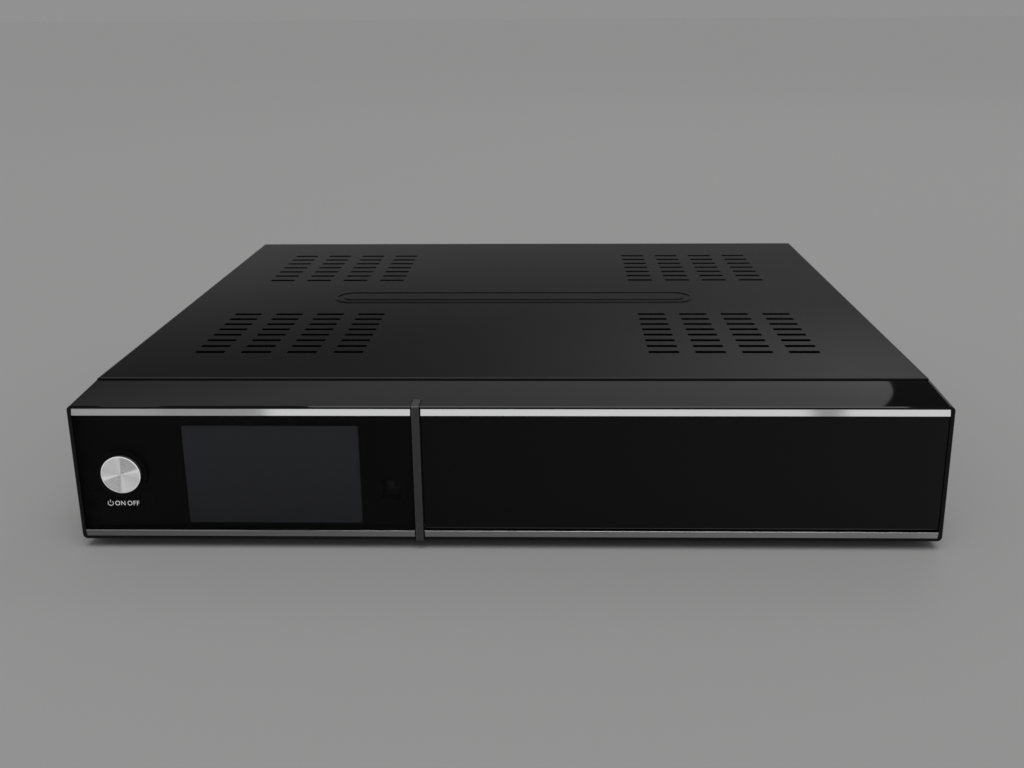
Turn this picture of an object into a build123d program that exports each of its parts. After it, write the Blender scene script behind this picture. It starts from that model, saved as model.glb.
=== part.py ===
from build123d import *
import os
from math import cos, radians, sin, tan

# Satellite television receiver.
# Millimetres. +X is to the right and -Y towards someone who faces the front, +Z is up.
# The origin is on the floor, under the middle of the whole receiver.

# ---------------------------------------------------------------- driving dimensions
# casing
body_width = 380.0        # across the fascia
cover_inset = 1.0         # each end of the fascia to the side of the steel cover
body_depth = 280.0        # fascia front to the rear flange of the cover
fascia_height = 63.5      # at the front edge
fascia_depth = 26.0
fascia_rake = 3.5         # degrees by which the fascia top rises towards the back
fascia_corner = 2.2       # corner radius seen from the front
fascia_wall = 2.2
fascia_web = 2.0          # plate behind the window
edge_break = 0.35         # small chamfer on the fascia's front and rear outlines
panel_edge_break = 0.2    # on the window and the flap
side_border = 1.9         # black edge left outside the strips and panels
cover_step = 0.9          # cover top above the back edge of the fascia
foot_lift = 4.5           # floor to the underside of the casing
sheet = 1.0               # steel sheet
bend_radius = 1.5         # outer radius of a sheet bend
cover_lip_radius = 0.4    # rounded front edge of the cover
joint_gap = 0.3           # between separate shells
slip = 0.15               # around a piece that drops into a pocket
running = 0.05            # radial clearance of a pin, stem or pivot in its bore

# strips, strap, window and flap
strip_height = 3.3
strip_thickness = 1.0
strip_proud = 0.2          # inner edge of each strip in front of the fascia
strip_slant = 0.45         # its outer edge lies that much further back
strip_bevel = 0.15
strip_from_top = 1.1
strip_from_bottom = 1.3
strap_x = -39.4           # middle of the strap
strap_width = 3.2
strap_thickness = 0.9
strap_proud = 0.7         # in front of the fascia
strap_rise = 0.3          # above the fascia top and below its underside
strap_return = 6.0        # length of its top leg
strap_foot = 4.0          # length of its bottom leg
strap_bend = 0.7          # outer radius of its two bends
strap_gap = 0.45          # dark joint on each side of it
window_recess = 0.3
window_thickness = 2.0
flap_thickness = 3.0
flap_gap = 0.3
flap_lip = 1.5            # stop lip behind the flap's edges
flap_rib_inset = 5.0
flap_rib_width = 1.2
flap_rib_height = 1.5
rib_x = -37.6             # middle of the wall between display side and card bay
rib_wall = 2.0
hinge_pin_radius = 0.8
hinge_pin_in_flap = 6.0
hinge_pin_in_cheek = 1.0
hinge_bore_depth = 1.3

# display and front controls
display_width = 77.2      # aperture in the web
display_height = 46.6
display_x = -103.5
display_above_base = 30.2
lcd_margin = 3.2          # metal frame around the aperture
lcd_thickness = 3.6
button_radius = 8.7
button_from_side = 20.5
button_above_base = 31.4
button_length = 2.0
button_proud = 0.5
button_bevel = 0.6
button_dish = 0.25
button_travel = 0.6
button_side_gap = 0.3
ring_width = 2.1
ring_dish = 0.4
plunger_radius = 4.0
plunger_collar_radius = 5.6
plunger_collar = 1.0
actuator_radius = 1.7
actuator_length = 2.7
actuator_proud = 1.0
switch_size = 6.2
switch_height = 3.6
eye_x = -51.8             # infrared receiver
eye_above_base = 22.6
eye_width = 6.4
eye_height = 8.4
eye_body_depth = 3.4
eye_lens_radius = 2.7
eye_lens_margin = 0.3     # block left above the lens
eye_window_margin = 0.9
board_thickness = 1.6
front_board_back_from_front = 12.6
front_board_side_inset = 4.0
front_board_bottom = 9.2
front_board_top = 54.4
front_boss_radius = 3.0
front_boss_inset = 4.5
side_fixing_above_base = 44.5

# card bay
bay_depth = 14.0          # fascia front to the bay panel
bay_panel_thickness = 1.6
ci_x = 18.0
ci_slot_width = 55.0
ci_slot_height = 5.6
ci_wall = 1.7
ci_side_wall = 3.4
ci_slot_depth = 48.0
ci_back_wall = 4.0
card_x = 96.0
card_slot_width = 54.6
card_slot_height = 1.4
card_reader_width = 61.0
card_reader_height = 9.0
card_reader_depth = 58.0
card_slot_depth = 52.0
slot_margin = 0.6         # bay panel cut-out around each slot
card_lead_in = 0.8        # bevel around the cut-outs of the smart cards
front_usb_from_side = 33.0
usb_width = 13.1
usb_height = 5.8
usb_wall = 0.5
usb_mouth_depth = 9.0
usb_tongue = 1.9
front_usb_length = 22.0
magnet_radius = 3.0
magnet_thickness = 2.0
magnet_block_width = 14.0
magnet_block_height = 9.0
magnet_block_depth = 4.0
catch_plate_width = 12.0
catch_plate_height = 6.0
catch_plate_thickness = 0.8

# vent slots and pressed field of the cover
slot_length = 14.8
slot_width = 3.2
slot_columns = 4
slot_pitch_x = 22.7
front_slot_rows = 8
front_slot_pitch = 8.43
front_slots_from_front = 88.9
rear_slot_rows = 7
rear_slot_pitch = 9.9
rear_slots_from_front = 215.5
slot_groups_apart = 222.0
pattern_shift = -3.5      # the pressed pattern sits a little left of the middle
bead_length = 208.0
bead_height = 20.6
bead_width = 1.6
bead_rise = 0.45
bead_draft = 20.0         # degrees
bead_from_front = 150.0
inner_bead_inset = 5.2
cover_flange = 9.0
flange_hole_from_top = 4.9
flange_hole_from_side = 38.0
side_hole_above_base = 8.8
side_hole_from_foot = 22.0

# chassis
chassis_flange = 16.0
base_vent_length = 30.0
base_vent_width = 3.4
base_vent_pitch = 7.0
base_vent_count = 9
foot_radius = 11.0
foot_draft = 15.0         # degrees
foot_recess_radius = 4.2
foot_recess_depth = 2.4
foot_from_side = 30.0
foot_from_front = 52.0
foot_from_back = 34.0
cable_slot_width = 30.0
cable_slot_height = 9.0

# screws
screw_head_radius = 2.8
screw_head_height = 0.9
screw_shank_radius = 1.3
screw_length = 6.0
screw_hole_gap = 0.2
drive_recess = 0.5        # width and depth of the cross recess
drive_length = 3.4

# main board and what stands on it
standoff_height = 6.0
standoff_radius = 2.8
main_board_side_gap = 4.7 # to the side wall of the chassis
main_board_overhang = 3.5 # left of the ribbon's plug
main_board_front = 30.0
main_board_back_gap = 3.0
board_hole_inset = 6.0
front_hole_inset = 30.0   # clear of the card cages
chip_from_right = 121.0
chip_from_front = 150.0
chip_size = 29.0
chip_height = 2.4
chip_bevel = 0.5
sink_size = 44.0
sink_base = 3.0
sink_height = 16.0
sink_fins = 9
fin_thickness = 1.4
memory_length = 13.5
memory_width = 8.0
memory_height = 1.2
memory_pitch = 15.0
capacitor_radius = 3.2
capacitor_height = 8.0
capacitor_pitch = 12.0
capacitor_count = 6

# rear sockets
tuner_width = 50.0
tuner_depth = 62.0
tuner_height = 17.0
tuner_spacing = 7.0
tuner_side_gap = 1.0      # to the screw head beside it
f_spacing = 24.0
f_radius = 4.7
f_neck_radius = 4.5       # inside the nut and the panel
f_length = 11.0           # outside the rear panel
f_above_board = 9.0
f_face_radius = 3.7
f_face_depth = 0.8
f_pin_radius = 0.7
f_pin_depth = 6.0
nut_flats = 11.0
nut_thickness = 2.2
socket_proud = 0.6
socket_gap = 0.25
hdmi_width = 15.2
hdmi_height = 6.2
hdmi_depth = 12.0
hdmi_base_width = 11.0    # below its shoulders
hdmi_shoulder = 2.2
hdmi_mouth_height = 3.8
hdmi_mouth_depth = 7.2
hdmi_mouth_above_board = 3.4
hdmi_tongue_width = 10.6
hdmi_tongue = 1.0
rear_usb_height = 15.4
rear_usb_depth = 18.0
net_from_tuner = 8.1      # gap beside the left tuner
net_width = 16.2
net_height = 13.6
net_depth = 21.0
net_mouth_width = 11.8
net_mouth_height = 8.2
net_mouth_depth = 12.0
net_mouth_rise = 2.2
net_key_width = 5.9
socket_pitch = 20.0       # between neighbours of different kinds
hdmi_pitch = 21.0
optical_size = 9.8
optical_depth = 13.0
optical_shutter = 6.4
optical_recess = 0.8
rear_vent_width = 2.4
rear_vent_height = 26.0
rear_vent_pitch = 5.2
rear_vent_count = 9

# power supply
psu_side_gap = 5.7        # to the side wall of the chassis
psu_width = 86.0
psu_depth = 78.0
psu_gap = 4.0             # between the parts on it
psu_row_from_front = 31.0
transformer_width = 34.0
transformer_depth = 30.0
transformer_core = 12.0
transformer_height = 26.0
bobbin_margin = 3.5
big_cap_radius = 9.0
big_cap_height = 33.0
big_cap_bevel = 0.9
psu_sink_length = 42.0
psu_sink_height = 28.0
psu_sink_thickness = 2.5
psu_sink_foot = 9.0

# mains inlet and rocker switch
inlet_from_psu_side = 24.0
inlet_above_base = 32.0
inlet_width = 28.0
inlet_height = 16.5
inlet_flange = 1.6
inlet_body_width = 21.0
inlet_body_height = 12.6
inlet_body_depth = 17.0
inlet_mouth_width = 15.8
inlet_mouth_height = 8.6
inlet_mouth_depth = 12.0
inlet_pin_radius = 1.2
inlet_pin_spacing = 8.6
inlet_pin_setback = 2.5
switch_from_inlet = 34.0
rocker_width = 10.2
rocker_length = 14.0
rocker_height = 4.2       # pivot to the tips of the rocker
rocker_waist = 1.2        # how far its middle is below the tips
rocker_belly = 4.0
rocker_tilt = 10.0        # degrees each way from level
rocker_side_gap = 0.3
rocker_pivot_radius = 1.2
rocker_pivot_length = 1.0
rocker_pivot_depth = 2.4  # below the bezel's face
switch_wall = 2.0
switch_depth = 15.0
switch_cavity = 9.0
switch_bezel = 1.6
switch_bezel_margin = 1.4

# drive tray
tray_side_gap = 6.7       # to the side wall of the chassis
tray_width = 80.0
tray_from_front = 44.0
tray_length = 108.0
tray_above_floor = 24.0
tray_foot = 9.0
tray_hole_radius = 1.8
tray_window_length = 64.0
tray_window_width = 46.0

# ribbon cable between front board and main board
ribbon_x = -56.0
ribbon_width = 20.0
ribbon_thickness = 0.4
ribbon_above_base = 30.0
ribbon_bend = 5.0
ribbon_plug_height = 4.0
ribbon_plug_depth = 5.0
ribbon_lands_from_front = 46.0

# ---------------------------------------------------------------- places worked out from them
half_width = body_width / 2
cover_width = body_width - 2 * cover_inset
socket_reach = f_length - sheet - joint_gap
y_front = -(body_depth + socket_reach - strap_proud) / 2
y_fascia_back = y_front + fascia_depth
y_back = y_front + body_depth
y_panel = y_back - sheet - joint_gap
y_panel_inner = y_panel - sheet
rake = tan(radians(fascia_rake))
z_base = foot_lift
z_top = z_base + fascia_height
z_shoulder = z_top + fascia_depth * rake
z_cover = z_shoulder + cover_step
z_floor = z_base + sheet
z_board = z_floor + standoff_height
z_board_top = z_board + board_thickness

strap_half = strap_width / 2 + strap_gap
x_channel_left = strap_x - strap_half
x_channel_right = strap_x + strap_half
x_border = half_width - side_border
z_strip_top = z_top - strip_from_top - strip_height / 2
z_strip_bottom = z_base + strip_from_bottom + strip_height / 2
z_panel_low = z_strip_bottom + strip_height / 2
z_panel_high = z_strip_top - strip_height / 2
z_panel_middle = (z_panel_low + z_panel_high) / 2
panel_height = z_panel_high - z_panel_low
left_panel_width = x_channel_left + x_border
left_panel_x = (x_channel_left - x_border) / 2
right_panel_width = x_border - x_channel_right
right_panel_x = (x_border + x_channel_right) / 2

y_window = y_front + window_recess
y_web = y_window + window_thickness
y_web_back = y_web + fascia_web
y_bay = y_front + bay_depth
y_bay_back = y_bay + bay_panel_thickness
y_front_board_back = y_front + front_board_back_from_front
y_front_board = y_front_board_back - board_thickness

button_x = -half_width + button_from_side
button_z = z_base + button_above_base
display_z = z_base + display_above_base
eye_z = z_base + eye_above_base

flap_width = right_panel_width - 2 * flap_gap
flap_bottom = z_panel_low + flap_gap
flap_top = z_panel_high - flap_gap
y_flap_back = y_window + flap_thickness
y_stop = y_flap_back + flap_gap
pivot_y = y_window + flap_thickness / 2
pivot_z = flap_bottom + flap_thickness / 2

cover_inner_half = cover_width / 2 - sheet
chassis_half = cover_inner_half - joint_gap


def across(y):
    """A plane at depth y whose sketches read as seen from the front."""
    return Plane.XZ.offset(-y)


def level(z):
    """A horizontal plane at height z."""
    return Plane.XY.offset(z)


def sideways(x):
    """An upright plane at x: sketch x runs to the back, sketch y upwards."""
    return Plane.YZ.offset(x)


os.makedirs("parts", exist_ok=True)

# ---------------------------------------------------------------- fascia moulding
button_hole_radius = button_radius + button_side_gap + ring_width
flap_pocket_depth = y_stop - y_front
window_pocket_depth = y_web - y_front
boss_x = (left_panel_x - left_panel_width / 2 + front_boss_inset,
          left_panel_x + left_panel_width / 2 - front_boss_inset)
boss_z = (z_base + front_board_bottom + front_boss_inset, z_base + front_board_top - front_boss_inset)
fixing_reach = fascia_wall + front_boss_radius - joint_gap
fixing_points = (
    (-half_width + fixing_reach, z_base + side_fixing_above_base),
    (half_width - fixing_reach, z_base + side_fixing_above_base),
    (display_x, z_base + fixing_reach),
    (right_panel_x, z_base + fixing_reach),
)
fixing_boss_length = fascia_depth - bay_depth - bay_panel_thickness - joint_gap
bay_mouth_top = z_panel_high - flap_lip

with BuildPart() as fascia_frame:
    # raked block with rounded ends
    with BuildSketch(Plane.YZ):
        with BuildLine():
            Polyline(
                (y_front, z_base), (y_front, z_top), (y_fascia_back, z_shoulder), (y_fascia_back, z_base),
                close=True,
            )
        make_face()
    extrude(amount=half_width, both=True)
    end_edges = fascia_frame.edges().group_by(Axis.X)
    fillet(
        end_edges[0].filter_by(Axis.Z, reverse=True) + end_edges[-1].filter_by(Axis.Z, reverse=True),
        fascia_corner,
    )
    for outline in (fascia_frame.faces().sort_by(Axis.Y)[0], fascia_frame.faces().sort_by(Axis.Y)[-1]):
        chamfer(outline.edges(), edge_break)
    # two chambers open to the back, with a wall between display side and card bay
    for x_from, x_to in (
        (-half_width + fascia_wall, rib_x - rib_wall / 2),
        (rib_x + rib_wall / 2, half_width - fascia_wall),
    ):
        with BuildSketch(sideways(x_from)):
            with BuildLine():
                Polyline(
                    (y_web_back, z_base + fascia_wall),
                    (y_web_back, z_top - fascia_wall + (y_web_back - y_front) * rake),
                    (y_fascia_back, z_shoulder - fascia_wall),
                    (y_fascia_back, z_base + fascia_wall),
                    close=True,
                )
            make_face()
        extrude(amount=x_to - x_from, mode=Mode.SUBTRACT)
    # seats of the bright strips
    with BuildSketch(across(y_front)):
        with Locations((left_panel_x, z_strip_top), (left_panel_x, z_strip_bottom)):
            Rectangle(left_panel_width, strip_height)
        with Locations((right_panel_x, z_strip_top), (right_panel_x, z_strip_bottom)):
            Rectangle(right_panel_width, strip_height)
    extrude(amount=-(strip_thickness - strip_proud), mode=Mode.SUBTRACT)
    # seat of the window
    with BuildSketch(across(y_front)):
        with Locations((left_panel_x, z_panel_middle)):
            Rectangle(left_panel_width, panel_height)
    extrude(amount=-window_pocket_depth, mode=Mode.SUBTRACT)
    # pocket of the flap, and the mouth of the card bay behind its stop lip
    with BuildSketch(across(y_front)):
        with Locations((right_panel_x, z_panel_middle)):
            Rectangle(right_panel_width, panel_height)
    extrude(amount=-flap_pocket_depth, mode=Mode.SUBTRACT)
    with BuildSketch(across(y_front)):
        with Locations((right_panel_x, (z_panel_low + bay_mouth_top) / 2)):
            Rectangle(right_panel_width - 2 * flap_lip, bay_mouth_top - z_panel_low)
    extrude(amount=-(y_web_back - y_front), mode=Mode.SUBTRACT)
    # display and infrared apertures in the web
    with BuildSketch(across(y_front)):
        with Locations((display_x, display_z)):
            Rectangle(display_width, display_height)
        with Locations((eye_x, eye_z)):
            Rectangle(eye_width + 2 * eye_window_margin, eye_height + 2 * eye_window_margin)
    extrude(amount=-(y_web_back - y_front), mode=Mode.SUBTRACT)
    # bosses of the front board, and bosses that take the fascia screws
    with BuildSketch(across(y_web_back)):
        with Locations(*[(x, z) for x in boss_x for z in boss_z]):
            Circle(front_boss_radius)
    extrude(amount=-(y_front_board - y_web_back))
    with BuildSketch(across(y_fascia_back)):
        with Locations(*fixing_points):
            Circle(front_boss_radius)
    extrude(amount=fixing_boss_length)
    with BuildSketch(across(y_front_board)):
        with Locations(*[(x, z) for x in boss_x for z in boss_z]):
            Circle(screw_shank_radius + running)
    extrude(amount=y_front_board - y_web_back, mode=Mode.SUBTRACT)
    with BuildSketch(across(y_fascia_back)):
        with Locations(*fixing_points):
            Circle(screw_shank_radius + running)
    extrude(amount=fixing_boss_length - fascia_web, mode=Mode.SUBTRACT)
    # guide of the button's plunger
    with BuildSketch(across(y_web)):
        with Locations((button_x, button_z)):
            Circle(plunger_radius + running)
    extrude(amount=-fascia_web, mode=Mode.SUBTRACT)
    # block behind the flap's top edge that holds the magnet
    with BuildSketch(across(y_stop)):
        with Locations((right_panel_x, z_top - fascia_wall - magnet_block_height / 2)):
            Rectangle(magnet_block_width, magnet_block_height)
    extrude(amount=-magnet_block_depth)
    with BuildSketch(across(y_stop)):
        with Locations((right_panel_x, flap_top - catch_plate_height / 2)):
            Circle(magnet_radius + running)
    extrude(amount=-magnet_thickness, mode=Mode.SUBTRACT)
    # blind pivot bores of the flap in both cheeks
    for x_cheek, direction in ((x_channel_right, -1), (x_border, 1)):
        with BuildSketch(sideways(x_cheek)):
            with Locations((pivot_y, pivot_z)):
                Circle(hinge_pin_radius + running)
        extrude(amount=direction * hinge_bore_depth, mode=Mode.SUBTRACT)
    # groove of the strap: down the front, over the top and under the bottom edge
    with BuildSketch(sideways(strap_x)):
        with BuildLine():
            Polyline(
                (y_front - fascia_wall, z_base - fascia_wall),
                (y_front - fascia_wall, z_top + fascia_wall),
                (y_front + strap_return + strap_gap, z_top + fascia_wall),
                (
                    y_front + strap_return + strap_gap,
                    z_top + (strap_return + strap_gap) * rake + strap_rise - strap_thickness,
                ),
                (
                    y_front + strap_thickness - strap_proud,
                    z_top + (strap_thickness - strap_proud) * rake + strap_rise - strap_thickness,
                ),
                (y_front + strap_thickness - strap_proud, z_base - strap_rise + strap_thickness),
                (y_front + strap_foot + strap_gap, z_base - strap_rise + strap_thickness),
                (y_front + strap_foot + strap_gap, z_base - fascia_wall),
                close=True,
            )
        make_face()
    extrude(amount=strap_half, both=True, mode=Mode.SUBTRACT)
fascia_frame.part.label = "fascia_frame"
export_step(fascia_frame.part, "parts/fascia_frame.step")

# ---------------------------------------------------------------- bright strips
strip_places = {
    "strip_top_left": (left_panel_x, z_strip_top, left_panel_width),
    "strip_top_right": (right_panel_x, z_strip_top, right_panel_width),
    "strip_bottom_left": (left_panel_x, z_strip_bottom, left_panel_width),
    "strip_bottom_right": (right_panel_x, z_strip_bottom, right_panel_width),
}
for strip_name, (strip_x, strip_z, strip_span) in strip_places.items():
    # the face leans: its edge beside the panel is proud and its outer edge is set back
    outward = 1 if strip_z > z_panel_middle else -1
    z_strip_inner = strip_z - outward * (strip_height / 2 - running)
    z_strip_outer = strip_z + outward * (strip_height / 2 - running)
    y_strip_back = y_front + strip_thickness - strip_proud
    with BuildPart() as strip:
        with BuildSketch(sideways(strip_x)):
            with BuildLine():
                Polyline(
                    (y_front - strip_proud, z_strip_inner),
                    (y_front - strip_proud + strip_slant, z_strip_outer),
                    (y_strip_back, z_strip_outer),
                    (y_strip_back, z_strip_inner),
                    close=True,
                )
            make_face()
        extrude(amount=strip_span / 2 - running, both=True)
        chamfer(strip.faces().sort_by(Axis.Y)[0].edges(), strip_bevel)
    strip.part.label = strip_name
    export_step(strip.part, f"parts/{strip_name}.step")

# ---------------------------------------------------------------- strap over the joint
with BuildPart() as divider_strap:
    y_strap = y_front - strap_proud
    with BuildSketch(sideways(strap_x)):
        with BuildLine():
            Polyline(
                (y_strap, z_base - strap_rise),
                (y_strap, z_top + strap_rise - strap_proud * rake),
                (y_front + strap_return, z_top + strap_rise + strap_return * rake),
                (y_front + strap_return, z_top + strap_rise + strap_return * rake - strap_thickness),
                (
                    y_strap + strap_thickness,
                    z_top + (strap_thickness - strap_proud) * rake + strap_rise - strap_thickness,
                ),
                (y_strap + strap_thickness, z_base - strap_rise + strap_thickness),
                (y_front + strap_foot, z_base - strap_rise + strap_thickness),
                (y_front + strap_foot, z_base - strap_rise),
                close=True,
            )
        make_face()
    extrude(amount=strap_width / 2, both=True)
    strap_bends = divider_strap.edges().filter_by(Axis.X).group_by(Axis.Y)[0]
    fillet(strap_bends, strap_bend)
divider_strap.part.label = "divider_strap"
export_step(divider_strap.part, "parts/divider_strap.step")

# ---------------------------------------------------------------- smoked window
with BuildPart() as display_window:
    with BuildSketch(across(y_window)):
        with Locations((left_panel_x, z_panel_middle)):
            Rectangle(left_panel_width - 2 * slip, panel_height - 2 * slip)
        with Locations((button_x, button_z)):
            Circle(button_hole_radius + running, mode=Mode.SUBTRACT)
    extrude(amount=-window_thickness)
    chamfer(display_window.faces().sort_by(Axis.Y)[0].outer_wire().edges(), panel_edge_break)
display_window.part.label = "display_window"
export_step(display_window.part, "parts/display_window.step")

# ---------------------------------------------------------------- power button
with BuildPart() as button_ring:
    # dished ring around the button: turned profile, radius against depth
    with BuildSketch(Plane(origin=(button_x, y_window, button_z), x_dir=(1, 0, 0), z_dir=(0, 0, 1))):
        with BuildLine():
            Polyline(
                (button_radius + button_side_gap, ring_dish),
                (button_hole_radius, 0),
                (button_hole_radius, window_thickness),
                (button_radius + button_side_gap, window_thickness),
                close=True,
            )
        make_face()
    revolve(axis=Axis((button_x, y_window, button_z), (0, 1, 0)))
button_ring.part.label = "button_ring"
export_step(button_ring.part, "parts/button_ring.step")

y_button = y_front - button_proud
with BuildPart() as power_button:
    # turned cap with a shallow dish in its face
    with BuildSketch(Plane(origin=(button_x, y_button, button_z), x_dir=(1, 0, 0), z_dir=(0, 0, 1))):
        with BuildLine():
            Polyline(
                (0, button_dish),
                (button_radius - button_bevel, 0),
                (button_radius, button_bevel),
                (button_radius, button_length),
                (0, button_length),
                close=True,
            )
        make_face()
    revolve(axis=Axis((button_x, y_button, button_z), (0, 1, 0)))
power_button.part.label = "power_button"
export_step(power_button.part, "parts/power_button.step")

y_switch = y_front_board - switch_height
y_actuator = y_switch - actuator_proud
with BuildPart() as button_plunger:
    # stem from the cap to the switch, with a collar that keeps it behind the web
    with BuildSketch(across(y_button + button_length)):
        with Locations((button_x, button_z)):
            Circle(plunger_radius)
    extrude(amount=-(y_actuator - y_button - button_length))
    with BuildSketch(across(y_web_back + slip)):
        with Locations((button_x, button_z)):
            Circle(plunger_collar_radius)
    extrude(amount=-plunger_collar)
button_plunger.part.label = "button_plunger"
export_step(button_plunger.part, "parts/button_plunger.step")

with BuildPart() as switch_actuator:
    with BuildSketch(across(y_actuator)):
        with Locations((button_x, button_z)):
            Circle(actuator_radius)
    extrude(amount=-actuator_length)
switch_actuator.part.label = "switch_actuator"
export_step(switch_actuator.part, "parts/switch_actuator.step")

with BuildPart() as tact_switch:
    # square body with the well in which the actuator travels
    with BuildSketch(across(y_switch)):
        with Locations((button_x, button_z)):
            Rectangle(switch_size, switch_size)
    extrude(amount=-switch_height)
    with BuildSketch(across(y_switch)):
        with Locations((button_x, button_z)):
            Circle(actuator_radius + running)
    extrude(amount=-(actuator_length - actuator_proud + button_travel + slip), mode=Mode.SUBTRACT)
tact_switch.part.label = "tact_switch"
export_step(tact_switch.part, "parts/tact_switch.step")

# ---------------------------------------------------------------- front board, display and receiver eye
front_board_left = -half_width + front_board_side_inset
front_board_right = x_channel_left - front_board_side_inset + strap_gap
with BuildPart() as front_board:
    with BuildSketch(across(y_front_board)):
        with Locations(
            (
                (front_board_left + front_board_right) / 2,
                z_base + (front_board_bottom + front_board_top) / 2,
            )
        ):
            Rectangle(front_board_right - front_board_left, front_board_top - front_board_bottom)
        with Locations(*[(x, z) for x in boss_x for z in boss_z]):
            Circle(screw_shank_radius + screw_hole_gap, mode=Mode.SUBTRACT)
    extrude(amount=-board_thickness)
front_board.part.label = "front_board"
export_step(front_board.part, "parts/front_board.step")

with BuildPart() as lcd_module:
    # metal frame behind the web, and the glass that stands up through the aperture to the window
    with BuildSketch(across(y_web_back)):
        with Locations((display_x, display_z)):
            Rectangle(display_width + 2 * lcd_margin, display_height + 2 * lcd_margin)
    extrude(amount=-lcd_thickness)
    with BuildSketch(across(y_web + slip)):
        with Locations((display_x, display_z)):
            Rectangle(display_width - 2 * slip, display_height - 2 * slip)
    extrude(amount=-(y_web_back - y_web - slip))
lcd_module.part.label = "lcd_module"
export_step(lcd_module.part, "parts/lcd_module.step")

with BuildPart() as ir_receiver:
    # block on the front board with a domed lens that looks through the web
    y_eye = y_front_board - eye_body_depth
    with BuildSketch(across(y_eye)):
        with Locations((eye_x, eye_z)):
            Rectangle(eye_width, eye_height)
    extrude(amount=-eye_body_depth)
    with Locations((eye_x, y_eye, eye_z + eye_height / 2 - eye_lens_radius - eye_lens_margin)):
        Sphere(eye_lens_radius)
ir_receiver.part.label = "ir_receiver"
export_step(ir_receiver.part, "parts/ir_receiver.step")

# ---------------------------------------------------------------- flap, its pins and its catch
catch_z = flap_top - catch_plate_height / 2
rib_bottom = flap_bottom + flap_thickness + flap_rib_inset
rib_top = flap_top - catch_plate_height - flap_lip
rib_outer_width = flap_width - 2 * flap_rib_inset
with BuildPart() as flap_door:
    # panel with a round lower edge about its pivot
    with BuildSketch(sideways(right_panel_x)):
        with Locations((pivot_y, (pivot_z + flap_top) / 2)):
            Rectangle(flap_thickness, flap_top - pivot_z)
        with Locations((pivot_y, pivot_z)):
            Circle(flap_thickness / 2)
    extrude(amount=flap_width / 2, both=True)
    flap_front = flap_door.faces().sort_by(Axis.Y)[0]
    chamfer(flap_front.edges().sort_by(Axis.Z)[-1], panel_edge_break)
    # stiffening rib around its back
    with BuildSketch(across(y_flap_back)):
        with Locations((right_panel_x, (rib_bottom + rib_top) / 2)):
            Rectangle(rib_outer_width, rib_top - rib_bottom)
            Rectangle(
                rib_outer_width - 2 * flap_rib_width, rib_top - rib_bottom - 2 * flap_rib_width,
                mode=Mode.SUBTRACT,
            )
    extrude(amount=-flap_rib_height)
    # seat of the catch plate
    with BuildSketch(across(y_flap_back)):
        with Locations((right_panel_x, catch_z)):
            Rectangle(catch_plate_width + 2 * slip, catch_plate_height)
    extrude(amount=catch_plate_thickness, mode=Mode.SUBTRACT)
    # bores of the hinge pins
    for x_end, direction in (
        (right_panel_x - flap_width / 2, 1),
        (right_panel_x + flap_width / 2, -1),
    ):
        with BuildSketch(sideways(x_end)):
            with Locations((pivot_y, pivot_z)):
                Circle(hinge_pin_radius + running / 2)
        extrude(amount=direction * hinge_pin_in_flap, mode=Mode.SUBTRACT)
flap_door.part.label = "flap_door"
export_step(flap_door.part, "parts/flap_door.step")

with BuildPart() as hinge_pins:
    # one pin at each end: held by the flap, turning in the cheek
    for x_end, direction in (
        (right_panel_x - flap_width / 2, 1),
        (right_panel_x + flap_width / 2, -1),
    ):
        with BuildSketch(sideways(x_end - direction * (flap_gap + hinge_pin_in_cheek))):
            with Locations((pivot_y, pivot_z)):
                Circle(hinge_pin_radius)
        extrude(amount=direction * (flap_gap + hinge_pin_in_cheek + hinge_pin_in_flap))
hinge_pins.part.label = "hinge_pins"
export_step(hinge_pins.part, "parts/hinge_pins.step")

with BuildPart() as catch_plate:
    with BuildSketch(across(y_flap_back)):
        with Locations((right_panel_x, catch_z - slip)):
            Rectangle(catch_plate_width, catch_plate_height - 2 * slip)
    extrude(amount=catch_plate_thickness)
catch_plate.part.label = "catch_plate"
export_step(catch_plate.part, "parts/catch_plate.step")

with BuildPart() as catch_magnet:
    with BuildSketch(across(y_stop)):
        with Locations((right_panel_x, catch_z)):
            Circle(magnet_radius)
    extrude(amount=-magnet_thickness)
catch_magnet.part.label = "catch_magnet"
export_step(catch_magnet.part, "parts/catch_magnet.step")

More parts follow.
